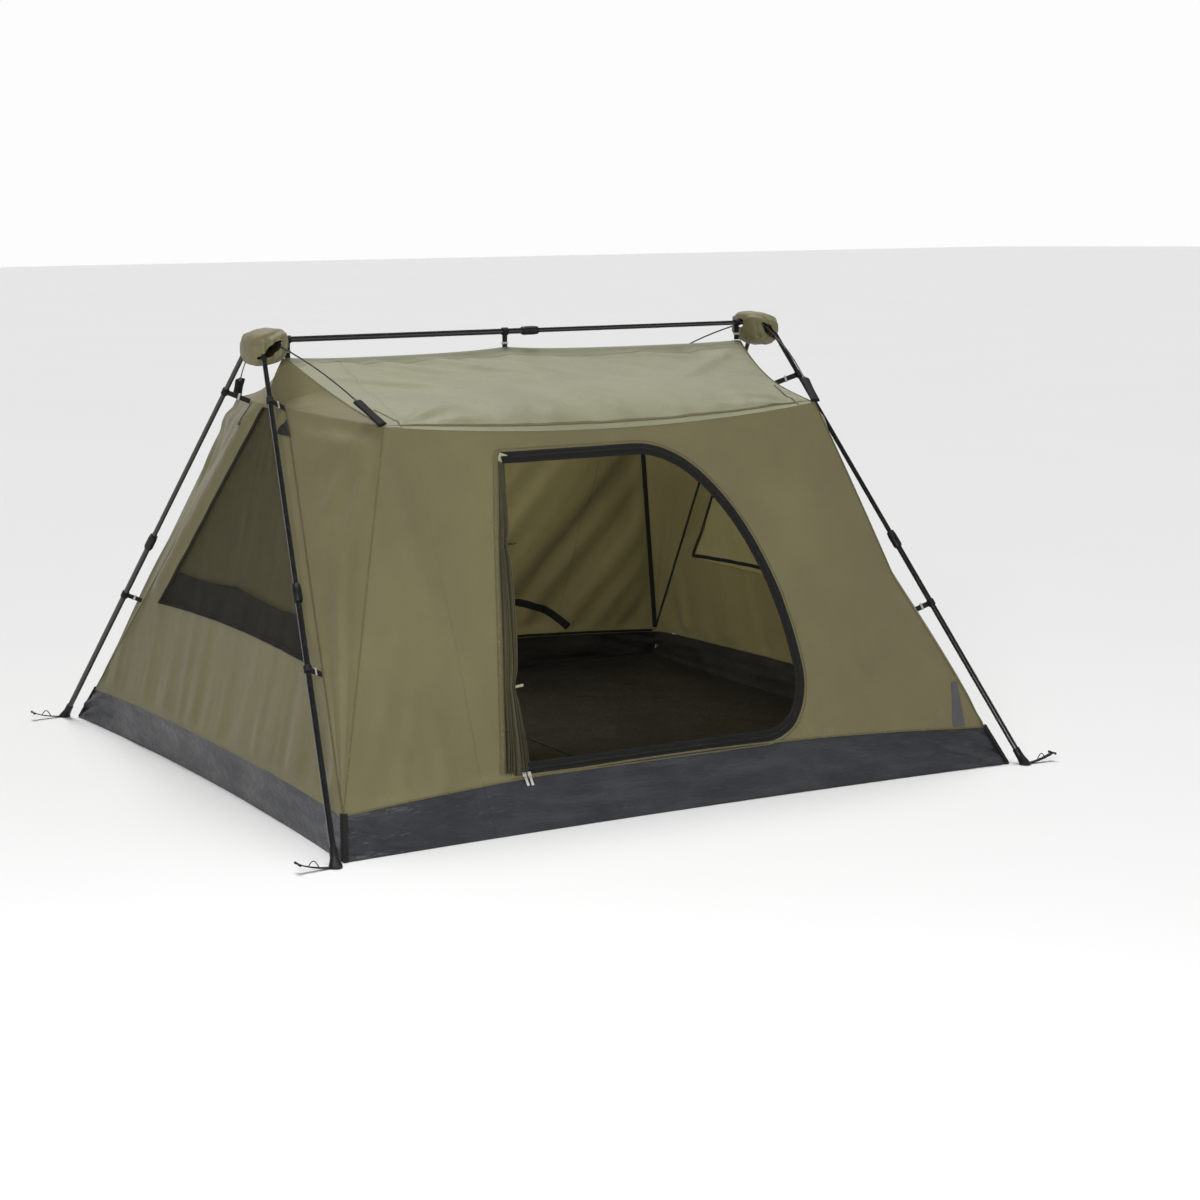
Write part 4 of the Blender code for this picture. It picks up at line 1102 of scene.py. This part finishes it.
class TENT_OT_windows(TentOperator):
    """Window mesh, its binding, the closed flap behind it and the pocket along the sill"""
    bl_idname = "tent.windows"
    bl_label = "Windows"

    def make(self, context):
        for side, side_x in SIDES.items():
            for face, side_y in FACES.items():
                tag = f"{side}_{face}"
                out = lambda p: Vector((side_x, 0, 0))

                def net(u, v):
                    z = WINDOW_SILL - 0.010 + (WINDOW_TOP + 0.020 - WINDOW_SILL) * v
                    return end_place(side_y * (max(0.02, window_half(z)) + 0.010) * u, z, side_x, -0.0022)

                def flap(u, v):
                    z = WINDOW_SILL - 0.010 + (WINDOW_TOP + 0.015 - WINDOW_SILL) * v
                    wave = 0.006 * rough(u * 3, v * 4, 4.0 + side_x) - 0.010 * math.sin(math.pi * v) * arch(u)
                    return end_place(side_y * (max(0.02, window_half(z)) + 0.014) * u, z, side_x, -0.012 + wave)

                def pocket(u, v):
                    z = sill_z(u) - 0.006 + 0.128 * v - 0.012 * math.sin(math.pi * u) * v
                    wave = 0.004 * rough(u * 7, v * 2, 8.0 + side_x)
                    return end_place(side_y * (window_half(z) + 0.006) * u, z, side_x, -0.006 + wave * v)
                for name, place, segments, finish, thickness, node_slot in (
                        ("window_net", net, (36, 60), "window_net", 0.0005, "mesh"),
                        ("window_flap", flap, (40, 50), "window_flap", 0.0008, "canopy"),
                        ("window_pocket", pocket, (40, 14), "pocket_net", 0.0006, "mesh")):
                    piece = cloth_piece(f"{name}_{tag}", segments, place, out, finish, node_slot,
                                        thickness=thickness)
                    fold_with_end(piece, side_x, side_y)
                    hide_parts(f"window_mesh_{side}")
                self.binding(tag, side_x, side_y)

    def binding(self, tag, side_x, side_y):
        """Thin black binding outside the opening's edge, a wider one inside, and one behind the flap."""
        def side_path(share, off):
            z = WINDOW_SILL + (WINDOW_TOP - WINDOW_SILL) * share
            return end_place(side_y * (window_half(z) + 0.002 + off), z, side_x), end_normal(side_x)

        def sill_path(share, off):
            y = (window_half(WINDOW_SILL) + 0.004) * share
            return end_place(side_y * y, sill_z(share) + off, side_x), end_normal(side_x)
        for name, path, width, lift in (
                ("window_edge", side_path, 0.0045, 0.0012), ("window_edge_inside", side_path, 0.020, -0.0018),
                ("window_sill", sill_path, 0.004, 0.0012), ("window_sill_inside", sill_path, 0.018, -0.0018),
                ("window_frame_inside", side_path, 0.014, -0.0185),
                ("window_foot_inside", sill_path, 0.014, -0.0185)):
            piece = ribbon(f"{name}_{tag}", path, width, lift, "zip_tape" if "inside" in name else "strap_tape",
                           thickness=0.001)
            fold_with_end(piece, side_x, side_y)


class TENT_OT_tub(TentOperator):
    """Groundsheet: turned-up sides in lengths, and the floor in two halves"""
    bl_idname = "tent.tub"
    bl_label = "Tub and floor"

    def make(self, context):
        for face, side_y in FACES.items():
            def make(part, side_x):
                def place(u, v):
                    x = length_x(side_x, u, TUB_X + (BASE.x - TUB_X) * v)
                    return tub_side_place(x, v, side_y, tucked(side_x, x))
                return cloth_piece(f"tub_{face}_{part}", (columns(side_x, 0.48), 16), place,
                                   lambda p: wall_normal(side_y), "groundsheet", "tub", inside="floor_cloth")
            in_lengths(make, side_y, "tub")
        for side, side_x in SIDES.items():
            for face, side_y in FACES.items():
                def place(u, v):
                    y = (TUB_Y + (BASE.y - TUB_Y) * v) * u
                    return tub_end_place(side_y * y, v, side_x)
                piece = cloth_piece(f"tub_end_{side}_{face}", (92, 16), place, lambda p: end_normal(side_x),
                                    "groundsheet", "tub", inside="floor_cloth")
                fold_with_end(piece, side_x, side_y)
                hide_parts("tub")
            self.floor_half(side, side_x)

    def floor_half(self, side, side_x):
        def place(u, v):
            share = 2 * v - 1
            edge_x = TUB_X - TUB_PULL_X * arch(share)
            x = edge_x * u
            y = (TUB_Y - TUB_PULL_Y * arch(x / TUB_X)) * share
            calm = ease(1 - abs(share), 0.08) * ease(1 - u, 0.08)
            form = 0.004 + 0.004 * rough(x * 2.5, y * 2.5, 6.6) + 0.0025 * rough(x * 9 + y * 3, y * 6, 1.2)
            inner = 0.0022 if side_x > 0 else 0.0
            return Vector((side_x * x, y, 0.0012 + calm * max(0.0, form) + inner))
        piece = cloth_piece(f"floor_{side}", (86, 150), place, lambda p: Vector((0, 0, 1)), "floor_cloth", "tub",
                            declare="laid")
        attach(piece, end_body(side_x))
        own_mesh(piece)
        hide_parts("tub")


class TENT_OT_seams(TentOperator):
    """Felled seams and hems outside, and black bindings on the seams inside"""
    bl_idname = "tent.seams"
    bl_label = "Seams and bindings"

    def make(self, context):
        width = sizes().seam
        for face, side_y in FACES.items():
            self.long_seams(face, side_y, width)
            for side, side_x in SIDES.items():
                self.corner_seams(f"{face}_{side}", side_x, side_y, width)

    def long_seams(self, face, side_y, width):
        def eave(part, side_x):
            def path(share, off):
                x = length_x(side_x, share, SHOULDER.x)
                across = 0.965 + off * 1.8
                return roof_place(x, across, side_y, tucked(side_x, x)), Vector((0, side_y * 0.7, 0.7))
            return ribbon(f"eave_seam_{face}_{part}", path, width, 0.0014, "felled_seam", "canopy", 0.0012,
                          columns(side_x, 0.10), crown=0.0008)

        def tub_seam(part, side_x):
            def path(share, off):
                x = length_x(side_x, share, corner_x(0.12))
                return (wall_place(x, tub_top(x) + 0.003 + off, side_y, tucked(side_x, x)), wall_normal(side_y))
            return ribbon(f"tub_seam_{face}_{part}", path, width * 0.8, 0.0012, "felled_seam", "canopy", 0.0012,
                          columns(side_x, 0.46), crown=0.0008)

        def lining_tape(part, side_x):
            def path(share, off):
                x = length_x(side_x, share, corner_x(0.13) - 0.01)
                return (wall_place(x, tub_top(x) + 0.004 + off, side_y, tucked(side_x, x)), -wall_normal(side_y))
            return ribbon(f"tub_binding_{face}_{part}", path, sizes().binding * 0.6, 0.0022, "zip_tape", "webbing",
                          0.001, columns(side_x, 0.46))
        for make in (eave, tub_seam, lining_tape):
            in_lengths(make, side_y)

    def corner_seams(self, tag, side_x, side_y, width):
        out = (wall_normal(side_y) + gusset_normal(side_x, side_y)).normalized()

        def corner(share, off):
            z = 0.115 + (SHOULDER.z - 0.118) * share
            point = Vector((side_x * corner_x(z, side_x, side_y), side_y * wall_y(z), z))
            return point + Vector((-side_x, 0, 0)) * (off + width * 0.45), wall_normal(side_y)

        def corner_inside(share, off):
            z = 0.13 + (SHOULDER.z - 0.145) * share
            point = Vector((side_x * (corner_x(z, side_x, side_y) - 0.004), side_y * (wall_y(z) - 0.004), z))
            side = out.cross(Vector((0, 0, 1))).normalized()
            return point + side * off, -out

        def neck(share, off):
            z = 0.125 + (NECK.z - 0.125) * share
            return end_place(side_y * (seam_y(z) + off), z, side_x), end_normal(side_x)

        def neck_inside(share, off):
            z = 0.135 + (NECK.z - 0.14) * share
            return end_place(side_y * (seam_y(z) - 0.002 + off), z, side_x), -end_normal(side_x)

        def roof_hem(share, off):
            across = 0.02 + 0.96 * share
            point = roof_place(side_x * (roof_edge_x(across) - 0.004 + off), across, side_y)
            return point, ROOF_UP * Vector((0, side_y, 1))
        binding = sizes().binding
        for name, path, wide, lift, finish, slot, blend in (
                ("corner_seam", corner, width * 0.9, 0.0010, "felled_seam", "canopy", False),
                ("corner_binding", corner_inside, binding, 0.004, "zip_tape", "webbing", False),
                ("neck_seam", neck, width * 0.8, 0.0012, "felled_seam", "canopy", True),
                ("neck_binding", neck_inside, binding * 0.85, 0.0022, "zip_tape", "webbing", True),
                ("roof_hem", roof_hem, width, 0.0013, "felled_seam", "canopy", False)):
            piece = ribbon(f"{name}_{tag}", path, wide, lift, finish, slot, 0.0011, crown=0.0006)
            fold_with_end(piece, side_x, side_y) if blend else ride_leg(piece, side_x, side_y)


class TENT_OT_door(TentOperator):
    """Zip tape, coil and seams round the door, and the two zip pulls"""
    bl_idname = "tent.door"
    bl_label = "Door trim"

    def make(self, context):
        outline = door_outline(600)
        total = line_length(outline)
        hinge = math.hypot(DOOR_HINGE_TOP_X - DOOR_HINGE_LOW_X, DOOR_TOP - DOOR_SILL) / total
        tape_width = sizes().zip_tape

        def along(first, last, off_line):
            def path(share, off):
                point, ahead = path_at(outline, first + (last - first) * share)
                side = Vector((-ahead.y, ahead.x))
                point = point + side * (off_line + off)
                return wall_place(point.x, point.y, -1), wall_normal(-1)
            return path
        for name, path, width, lift, finish, slot, thick, count in (
                ("door_tape", along(hinge * 1.005, 0.992, -tape_width / 2 + 0.009), tape_width, 0.0012, "zip_tape",
                 "webbing", 0.0016, 420),
                ("door_coil", along(hinge * 1.01, 0.99, -0.006), 0.0055, 0.0024, "zip_coil", "webbing",
                 0.0026, 420),
                ("door_edge_seam", along(hinge * 0.99, 0.995, 0.017), 0.0035, 0.0012, "felled_seam", "canopy",
                 0.0012, 380),
                ("door_hinge_seam", along(0.0, hinge, 0.010), 0.016, 0.0016, "felled_seam", "canopy", 0.0012, 120)):
            hang_door(ribbon(name, path, width, lift, finish, slot, thick, count, crown=0.0008))
        self.pulls()

    def pulls(self):
        """Two sliders side by side, each with a long pull that hangs down the sill."""
        z = DOOR_SILL - 0.012
        x = DOOR_HINGE_LOW_X + 0.066
        normal = wall_normal(-1)
        up = Vector((0, 0, 1)) - normal * normal.z
        up.normalize()
        bm = bmesh.new()
        for shift, lean in ((-0.0085, 0.16), (0.0085, 0.10)):
            turn = Matrix((Vector((1, 0, 0)), up, Vector((1, 0, 0)).cross(up))).transposed().to_4x4()
            turn.translation = wall_place(x + shift, z, -1, 0.003)
            for low, high, angle, bevel in (
                    ((-0.006, -0.004, 0.000), (0.006, 0.010, 0.0045), 0.0, 0.0016),
                    ((-0.0025, 0.000, 0.0045), (0.0025, 0.006, 0.0070), 0.0, 0.0010),
                    ((-0.0042, -0.033, 0.0035), (0.0042, 0.003, 0.0052), lean, 0.0008)):
                add_block(bm, low, high, bevel, 2, turn @ Matrix.Rotation(angle, 4, "Z"))
        piece = solid_piece("zip_pulls", bm, "zinc", "zip")
        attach(piece, "zip_slider")
        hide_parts("zip_slider")


class TENT_OT_door_flap(TentOperator):
    """The door's cloth gathered along its hinge edge, with its ties"""
    bl_idname = "tent.door_flap"
    bl_label = "Gathered door"

    def make(self, context):
        def pinch(z):
            """Half width of the bundle: narrow at each tie, wide between them and at the sill."""
            width = 0.014 + 0.012 * ease(DOOR_TOP - z, 0.5) + 0.018 * ease(0.42 - z, 0.26)
            for tie in TIE_HEIGHTS[1:]:
                width *= 1 - 0.20 * math.exp(-((z - tie) / 0.035) ** 2)
            return width

        def place(u, v):
            z = DOOR_SILL - 0.005 + (DOOR_TOP + 0.012 - DOOR_SILL) * v
            t, half = 2 * u - 1, pinch(z)
            depth = self.cloth_width(z) / (4 * DOOR_PLEATS) * 1.15 * math.sqrt(1.04 - t * t)
            turn = math.tau * DOOR_PLEATS * u + 1.2 * rough(u * 5, z * 1.8, 4.0)
            depth *= 1 + 0.30 * rough(u * 9, z * 2.4, 1.5)
            lean = 0.35 * half * rough(u * 6, z * 3.0, 8.2)
            x = hinge_x(z) - 0.002 + half * (1 + t) + lean * math.sin(turn)
            y = -wall_y(z) + 0.012 - depth * math.sin(turn) + 0.010 * rough(z * 2, u, 2.2)
            return Vector((x, y, z))
        # The gathered door's dark finish is painted shade
        piece = cloth_piece("door_gathered", (312, 110), place, lambda p: Vector((0, -1, 0)), "flap_cloth",
                            thickness=0.0007, declare=None)
        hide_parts("door_flap")
        hang_door(piece)
        self.ties(pinch)

    def cloth_width(self, z):
        """Width of the door's cloth at a height, from its hinge edge to its free edge."""
        if z > DOOR_WIDEST_Z:
            share = min(1.0, (z - DOOR_WIDEST_Z) / (DOOR_TOP - DOOR_WIDEST_Z))
            free = DOOR_FLAT_TOP_X + (DOOR_RIGHT_X - DOOR_FLAT_TOP_X) * math.sqrt(1 - share * share)
        else:
            share = min(1.0, (DOOR_WIDEST_Z - z) / (DOOR_WIDEST_Z - DOOR_SILL))
            free = DOOR_RIGHT_X - DOOR_LOW_RADIUS * (1 - math.sqrt(1 - share * share))
        return free - hinge_x(z)

    def ties(self, pinch):
        for index, z in enumerate(TIE_HEIGHTS):
            half = pinch(z) * 1.25
            centre = Vector((hinge_x(z) + pinch(z), -wall_y(z) + 0.020, z))
            turns = [math.tau * k / 28 for k in range(29)]
            points = [centre + Vector((half * math.cos(a), 0.75 * half * math.sin(a), 0.004 * math.sin(a)))
                      for a in turns]

            def path(share, off):
                point, _ = path_at(points, share)
                out = (point - centre).normalized()
                return point + Vector((0, 0, off)), Vector((out.x, out.y, 0)).normalized()
            band = cloth_piece(f"door_tie_{index}", (56, 4), lambda u, v: path(u, (v - 0.5) * 0.013)[0],
                               lambda p: p - centre, "felled_seam" if index != 1 else "strap_tape", thickness=0.001,
                               declare=None, map_across=0.2)
            hang_door(band)
            if index == 1:
                steps = [k / 8 for k in range(9)]
                toggle = [centre + Vector((half * 0.9 + 0.030 * s, -0.006, 0.001 * math.sin(8 * s))) for s in steps]
                hang_door(tube_piece("door_toggle", toggle, [0.0035 - 0.0025 * s for s in steps], "black_plastic",
                                     "moulding", 10))
                continue
            size, aside, rise, lean = (((0.030, 0.003, 0.026), 0.2, 0.012, 0.35) if index == 0 else
                                       ((0.034, 0.0016, 0.008), 1.1, 0.0, -0.10))
            matrix = Matrix.Translation(centre + Vector((half * aside, -half * 0.8, rise)))
            hang_door(bevelled_block(f"door_tab_{index}", [-s / 2 for s in size], [s / 2 for s in size],
                                     matrix @ Matrix.Rotation(lean, 4, "Y"), "tab_cloth", "canopy",
                                     bevel=min(size) * 0.45))


class TENT_OT_hub_covers(TentOperator):
    """Gathered hoods over the hubs, with a slanting mouth at the front and back where leg and arm come out"""
    bl_idname = "tent.hub_covers"
    bl_label = "Hub covers"

    CENTRE_X, CENTRE_Z = 0.934, 1.386
    HALF_X, HALF_Y, TOP, BOTTOM = 0.066, 0.084, 0.052, 0.062
    POLE_END = -0.994        # t where the hood meets the ridge pole

    def make(self, context):
        for side, side_x in SIDES.items():
            centre = Vector((side_x * self.CENTRE_X, 0, self.CENTRE_Z))

            def crown(u, v):
                t = self.POLE_END + (1 - self.POLE_END) * v
                return self.pouch((2 * u - 1) * self.mouth(t)[0], t, side_x)
            piece = cloth_piece(f"hub_hood_{side}", (72, 48), crown, lambda p: p - centre, "hood_cloth",
                                inside="lining", thickness=0.0014, declare="gathered", flat=(0.27, 0.17))
            body = end_body(side_x)
            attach(piece, body)
            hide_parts(f"hub_cover_{side}")
            for face, side_y in FACES.items():
                def underside(u, v):
                    t = self.POLE_END + (1 - self.POLE_END) * v
                    edge = self.mouth(t)[1]
                    return self.pouch(side_y * (edge + (math.radians(181) - edge) * u), t, side_x, 0.985)
                piece = cloth_piece(f"hub_underside_{side}_{face}", (24, 48), underside, lambda p: p - centre,
                                    "hood_cloth", inside="lining", thickness=0.0014, declare="gathered",
                                    flat=(0.08, 0.15))
                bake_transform(piece)
                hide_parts(f"hub_cover_{side}")

    def mouth(self, t):
        """Angles of the mouth's upper and lower edges. It slants from the eave arm down to the leg."""
        seam, lap = math.radians(94 + 30.5 * t), math.radians(2)
        gap = math.radians(16) * math.sqrt(max(0.0, 1 - ((t - 0.17) / 0.62) ** 2))
        return seam - gap + lap, seam + gap - lap

    def pouch(self, turn, t, side_x, inset=1.0):
        """Point of the hood: turn is the angle from its top, and t runs from the ridge pole's side outwards."""
        body = max(0.0, 1 - abs(t) ** 3.2) ** 0.34
        pleat = 0.05 * math.sin(turn * 9 + 3 * t) * (1 - body * 0.6)
        pleat += 0.07 * rough(math.sin(turn) * 2.2, t * 2.0 + math.cos(turn) * 2, 2.0 + side_x)
        pleat += 0.06 * math.sin(t * 14) * ease(abs(turn) - 0.7, 0.8) * ease(2.3 - abs(turn), 0.4)
        reach = body * (1 + sizes().wrinkles * pleat) * inset
        across = math.copysign(abs(math.sin(turn)) ** 0.75, math.sin(turn))
        up = math.copysign(abs(math.cos(turn)) ** 0.75, math.cos(turn))
        height = self.TOP if up > 0 else self.BOTTOM
        return Vector((side_x * (self.CENTRE_X + self.HALF_X * t), self.HALF_Y * reach * across,
                       self.CENTRE_Z + height * reach * up - 0.008 * (t + 0.3) + 0.009 * max(0.0, -t) ** 6))


class TENT_OT_shoulders(TentOperator):
    """Webbing sleeves over the arms' tips, the stitched patches under them and the corner vents"""
    bl_idname = "tent.shoulders"
    bl_label = "Shoulders"

    def make(self, context):
        for tag, (side_x, side_y) in CORNERS.items():
            flip = Vector((side_x, side_y, 1))
            arm = self.arm_path(flip)
            sleeve = [p for p in arm if (p - arm[-1]).length < sizes().sleeve]
            sleeve.append(arm[-1] + (arm[-1] - arm[-2]).normalized() * 0.010)
            sleeve = even_path(sleeve, 20)
            normal = Vector((0, side_y * 0.45, 0.89))
            across = (sleeve[-1] - sleeve[0]).cross(normal).normalized()
            radius = [0.0150 + 0.0015 * ease(abs(k - 10) / 10, 1.0) for k in range(21)]
            piece = tube_piece(f"arm_sleeve_{tag}", sleeve, radius, "sleeve_tape", "webbing", 24, flat=0.42,
                               across=across, sharp=60)
            ride_leg(piece, side_x, side_y)
            collar = [sleeve[0] + (sleeve[0] - sleeve[1]).normalized() * (0.013 - 0.017 * k / 8) for k in range(9)]
            ferrule = tube_piece(f"arm_ferrule_{tag}", collar, [0.0042 + 0.0014 * min(1, k / 2) for k in range(9)],
                                 "grey_plastic", "moulding", 16)
            ride_leg(ferrule, side_x, side_y)
            self.patch(tag, side_x, side_y)
            self.vent(tag, side_x, side_y)

    def arm_path(self, flip):
        tip = SHOULDER + Vector((0.003, -0.007, ARM_TIP_LIFT))
        root = PIVOT - Vector((ARM_BEND, 0, 0))
        points = []
        for k in range(41):
            share = k / 40
            lift = Vector((0.2, 0.3, 1.0)) * ARM_BOW * math.sin(math.pi * share)
            points.append((root.lerp(tip, share) + lift) * flip)
        return points

    def patch(self, tag, side_x, side_y):
        """Reinforcing patch on the roof's corner, with a stitched inner edge."""
        def place(u, v):
            across = PATCH_FROM + 0.295 * v
            inner = PATCH_X - 0.014 * v - 0.010 * math.sin(math.pi * v)
            x = inner + (roof_edge_x(across) - 0.002 - inner) * u
            return roof_place(side_x * x, across, side_y, 0.0012)

        def edge(share, off):
            across = PATCH_FROM + 0.29 * share
            inner = PATCH_X + 0.002 - 0.014 * share - 0.010 * math.sin(math.pi * share)
            return roof_place(side_x * (inner + off), across, side_y), ROOF_UP * Vector((0, side_y, 1))
        for piece in (cloth_piece(f"shoulder_patch_{tag}", (12, 18), place, lambda p: Vector((0, side_y * 0.3, 1)),
                                  "roof_cloth", "roof", thickness=0.0008),
                      ribbon(f"shoulder_stitch_{tag}", edge, 0.006, 0.0020, "felled_seam", "canopy", 0.0008)):
            ride_leg(piece, side_x, side_y)

    def vent(self, tag, side_x, side_y):
        """Small dark triangle beside the head of each window seam."""
        apex, left, right = VENT_CORNERS

        def place(u, v):
            low = left.lerp(right, u)
            point = low.lerp(apex, v)
            return end_place(side_y * point.y, point.z, side_x, 0.0030)
        piece = cloth_piece(f"corner_vent_{tag}", (8, 8), place, lambda p: end_normal(side_x), "vent_net", "mesh",
                            thickness=0.001, declare=None)
        fold_with_end(piece, side_x, side_y)


class TENT_OT_fittings(TentOperator):
    """Buckles on the straps, corner straps, the rear port's zip, peg loops"""
    bl_idname = "tent.fittings"
    bl_label = "Straps and fittings"

    def make(self, context):
        self.buckles()
        self.rear_port()
        self.grey_tab()
        for tag, (side_x, side_y) in CORNERS.items():
            self.corner_strap(tag, side_x, side_y)
            self.peg_loop(tag, side_x, side_y)

    def buckles(self):
        """Pale ladder buckle half way along each strap."""
        nodes = [f"ridge_strap_{p}" for p in ("left", "middle", "right")]
        nodes += [f"clip_{level}_{tag}" for level in ("upper", "lower") for tag in CORNERS]
        for name in nodes:
            part = frame["nodes"][name]
            if name.startswith("ridge"):
                x = sum(v.co.x for v in part.data.vertices) / len(part.data.vertices)
                start, end = Vector((x, 0, PIVOT.z - 0.012)), Vector((x, 0, RIDGE_FABRIC_Z))
            else:
                corner = CORNERS[name.split("_", 2)[2]]
                start, end = self.strap_start(name, *corner), self.strap_end(name, *corner)
            middle = start.lerp(end, 0.52)
            along = (end - start).normalized()
            side = Vector((0, 0, 1)) if abs(along.z) < 0.8 else Vector((1, 0, 0))
            if not name.startswith("ridge"):
                side = (FOOT - PIVOT).normalized() * Vector((*corner, 1))
            side = (side - side.dot(along) * along).normalized()
            matrix = Matrix((side, along, side.cross(along))).transposed().to_4x4()
            matrix.translation = middle
            buckle = bevelled_block(f"{name}_buckle", (-0.0115, -0.0035, -0.0030), (0.0115, 0.0035, 0.0030), matrix,
                                    "pale_plastic", "moulding", 0.0012)
            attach(buckle, part["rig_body"])

    def strap_start(self, name, side_x, side_y):
        distance = UPPER_CLIP_ALONG if "upper" in name else LOWER_CLIP_ALONG
        flip = Vector((side_x, side_y, 1))
        return (PIVOT + (FOOT - PIVOT).normalized() * distance) * flip

    def strap_end(self, name, side_x, side_y):
        z = NECK.z if "upper" in name else LOWER_CLIP_Z
        y = NECK.y if "upper" in name else seam_y(z)
        return Vector((side_x * end_x(z), side_y * y, z))

    def rear_port(self):
        """Low arch of zip tape on the inner face of the back wall."""
        def path(share, off):
            t = 2 * share - 1
            x = PORT_X + t * PORT_HALF
            z = PORT_LOW + (PORT_HIGH - PORT_LOW) * arch(t)
            slope = Vector((PORT_HALF, -2 * t * (PORT_HIGH - PORT_LOW))).normalized()
            return wall_place(x - slope.y * off, z + slope.x * off, 1), -wall_normal(1)
        piece = ribbon("rear_port_tape", path, 0.028, 0.0024, "zip_tape", "webbing", 0.0014, 90, crown=0.001)
        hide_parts("rear_port_zip")
        bunch(ride_leg(piece, -1, 1))

    def corner_strap(self, tag, side_x, side_y):
        """Webbing up the tub's corner, turned under at its foot."""
        out = Vector((side_x, side_y, 0)).normalized()
        side = Vector((-side_y, side_x, 0)).normalized() * (1 if side_x * side_y > 0 else -1)
        low = Vector((side_x * TUB_X, side_y * TUB_Y, 0.004))
        high = Vector((side_x * BASE.x, side_y * BASE.y, BASE.z + 0.012))

        def path(share, off):
            point = low.lerp(high, share) + side * off - out * abs(off) * 0.75
            return point, out
        piece = ribbon(f"corner_strap_{tag}", path, 0.024, 0.0018, "strap_tape", "webbing", 0.0014, 16)
        ride_leg(piece, side_x, side_y)

    def grey_tab(self):
        """Tapered grey tab sewn on the front wall near its right corner."""
        def place(u, v):
            x = 1.040 + 0.052 * u * (1 - 0.55 * v) + 0.034 * v
            return wall_place(x, 0.125 + 0.135 * v, -1, 0.0016 + 0.001 * math.sin(math.pi * u))
        piece = cloth_piece("grey_tab", (6, 14), place, lambda p: wall_normal(-1), "grey_cloth", thickness=0.001)
        ride_leg(piece, 1, -1)

    def peg_loop(self, tag, side_x, side_y):
        """Webbing tab from the foot with a small loop on it and a toggle at its end."""
        low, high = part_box(f"peg_loop_{tag}")
        start = Vector((FOOT.x + 0.016, FOOT.y, 0.0035))
        tip = Vector((max(abs(low.x), abs(high.x)) - 0.003, FOOT.y, high.z - 0.010))
        flip = Vector((side_x, side_y, 1))

        def line(share):
            point = start.lerp(tip, share)
            point.z = start.z + (tip.z - start.z) * (0.35 * share + 0.65 * share ** 2.2)
            return point

        def path(share, off):
            return line(share * 0.94) * flip + Vector((0, off, 0)), Vector((-side_x * 0.25, 0, 1)).normalized()
        piece = ribbon(f"peg_tab_{tag}", path, 0.017, 0.0, "strap_tape", "webbing", 0.0018, 24, crown=0.0006)
        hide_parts(f"peg_loop_{tag}")
        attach(piece, f"leg_lower_{tag}")
        bm = bmesh.new()
        tip_at = line(0.97)
        waist, loop = [k / 10 for k in range(11)], [k / 14 for k in range(15)]
        bar = [(tip_at + Vector((0.001 * math.sin(10 * s), -0.018 + 0.036 * s, 0))) * flip for s in waist]
        cord_tube(bm, bar, [0.0042 - 0.0012 * math.sin(math.pi * s) for s in waist], 12)
        cord_tube(bm, [(line(0.35 + 0.30 * s) + Vector((0, 0, 0.0015 + 0.016 * math.sin(math.pi * s)))) * flip
                       for s in loop], 0.0016, 8)
        toggle = solid_piece(f"peg_toggle_{tag}", bm, "black_plastic", "moulding", 50)
        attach(toggle, f"leg_lower_{tag}")


class TENT_PT_panel(bpy.types.Panel):
    """Lists the tent's pieces, sizes and colours"""
    bl_idname = "TENT_PT_panel"
    bl_label = "Frame tent"
    bl_space_type = "VIEW_3D"
    bl_region_type = "UI"
    bl_category = "Frame tent"

    def draw(self, context):
        for group in (context.scene.tent_sizes, context.scene.tent_colours):
            for name in group.__annotations__:
                self.layout.prop(group, name)
        for operator in OPERATORS:
            self.layout.operator(operator.bl_idname)


OPERATORS = (TENT_OT_stage, TENT_OT_frame, TENT_OT_roof, TENT_OT_walls, TENT_OT_end_walls, TENT_OT_windows,
             TENT_OT_tub, TENT_OT_seams, TENT_OT_door, TENT_OT_door_flap, TENT_OT_hub_covers, TENT_OT_shoulders,
             TENT_OT_fittings)
CLASSES = (TentSizes, TentColours, *OPERATORS, TENT_PT_panel)


def register():
    for cls in CLASSES:
        bpy.utils.register_class(cls)
    bpy.types.Scene.tent_sizes = bpy.props.PointerProperty(type=TentSizes)
    bpy.types.Scene.tent_colours = bpy.props.PointerProperty(type=TentColours)


def unregister():
    del bpy.types.Scene.tent_colours
    del bpy.types.Scene.tent_sizes
    for cls in reversed(CLASSES):
        bpy.utils.unregister_class(cls)


def main():
    register()
    for operator in OPERATORS:
        getattr(bpy.ops.tent, operator.bl_idname.split(".")[1])()


if __name__ == "__main__":
    main()
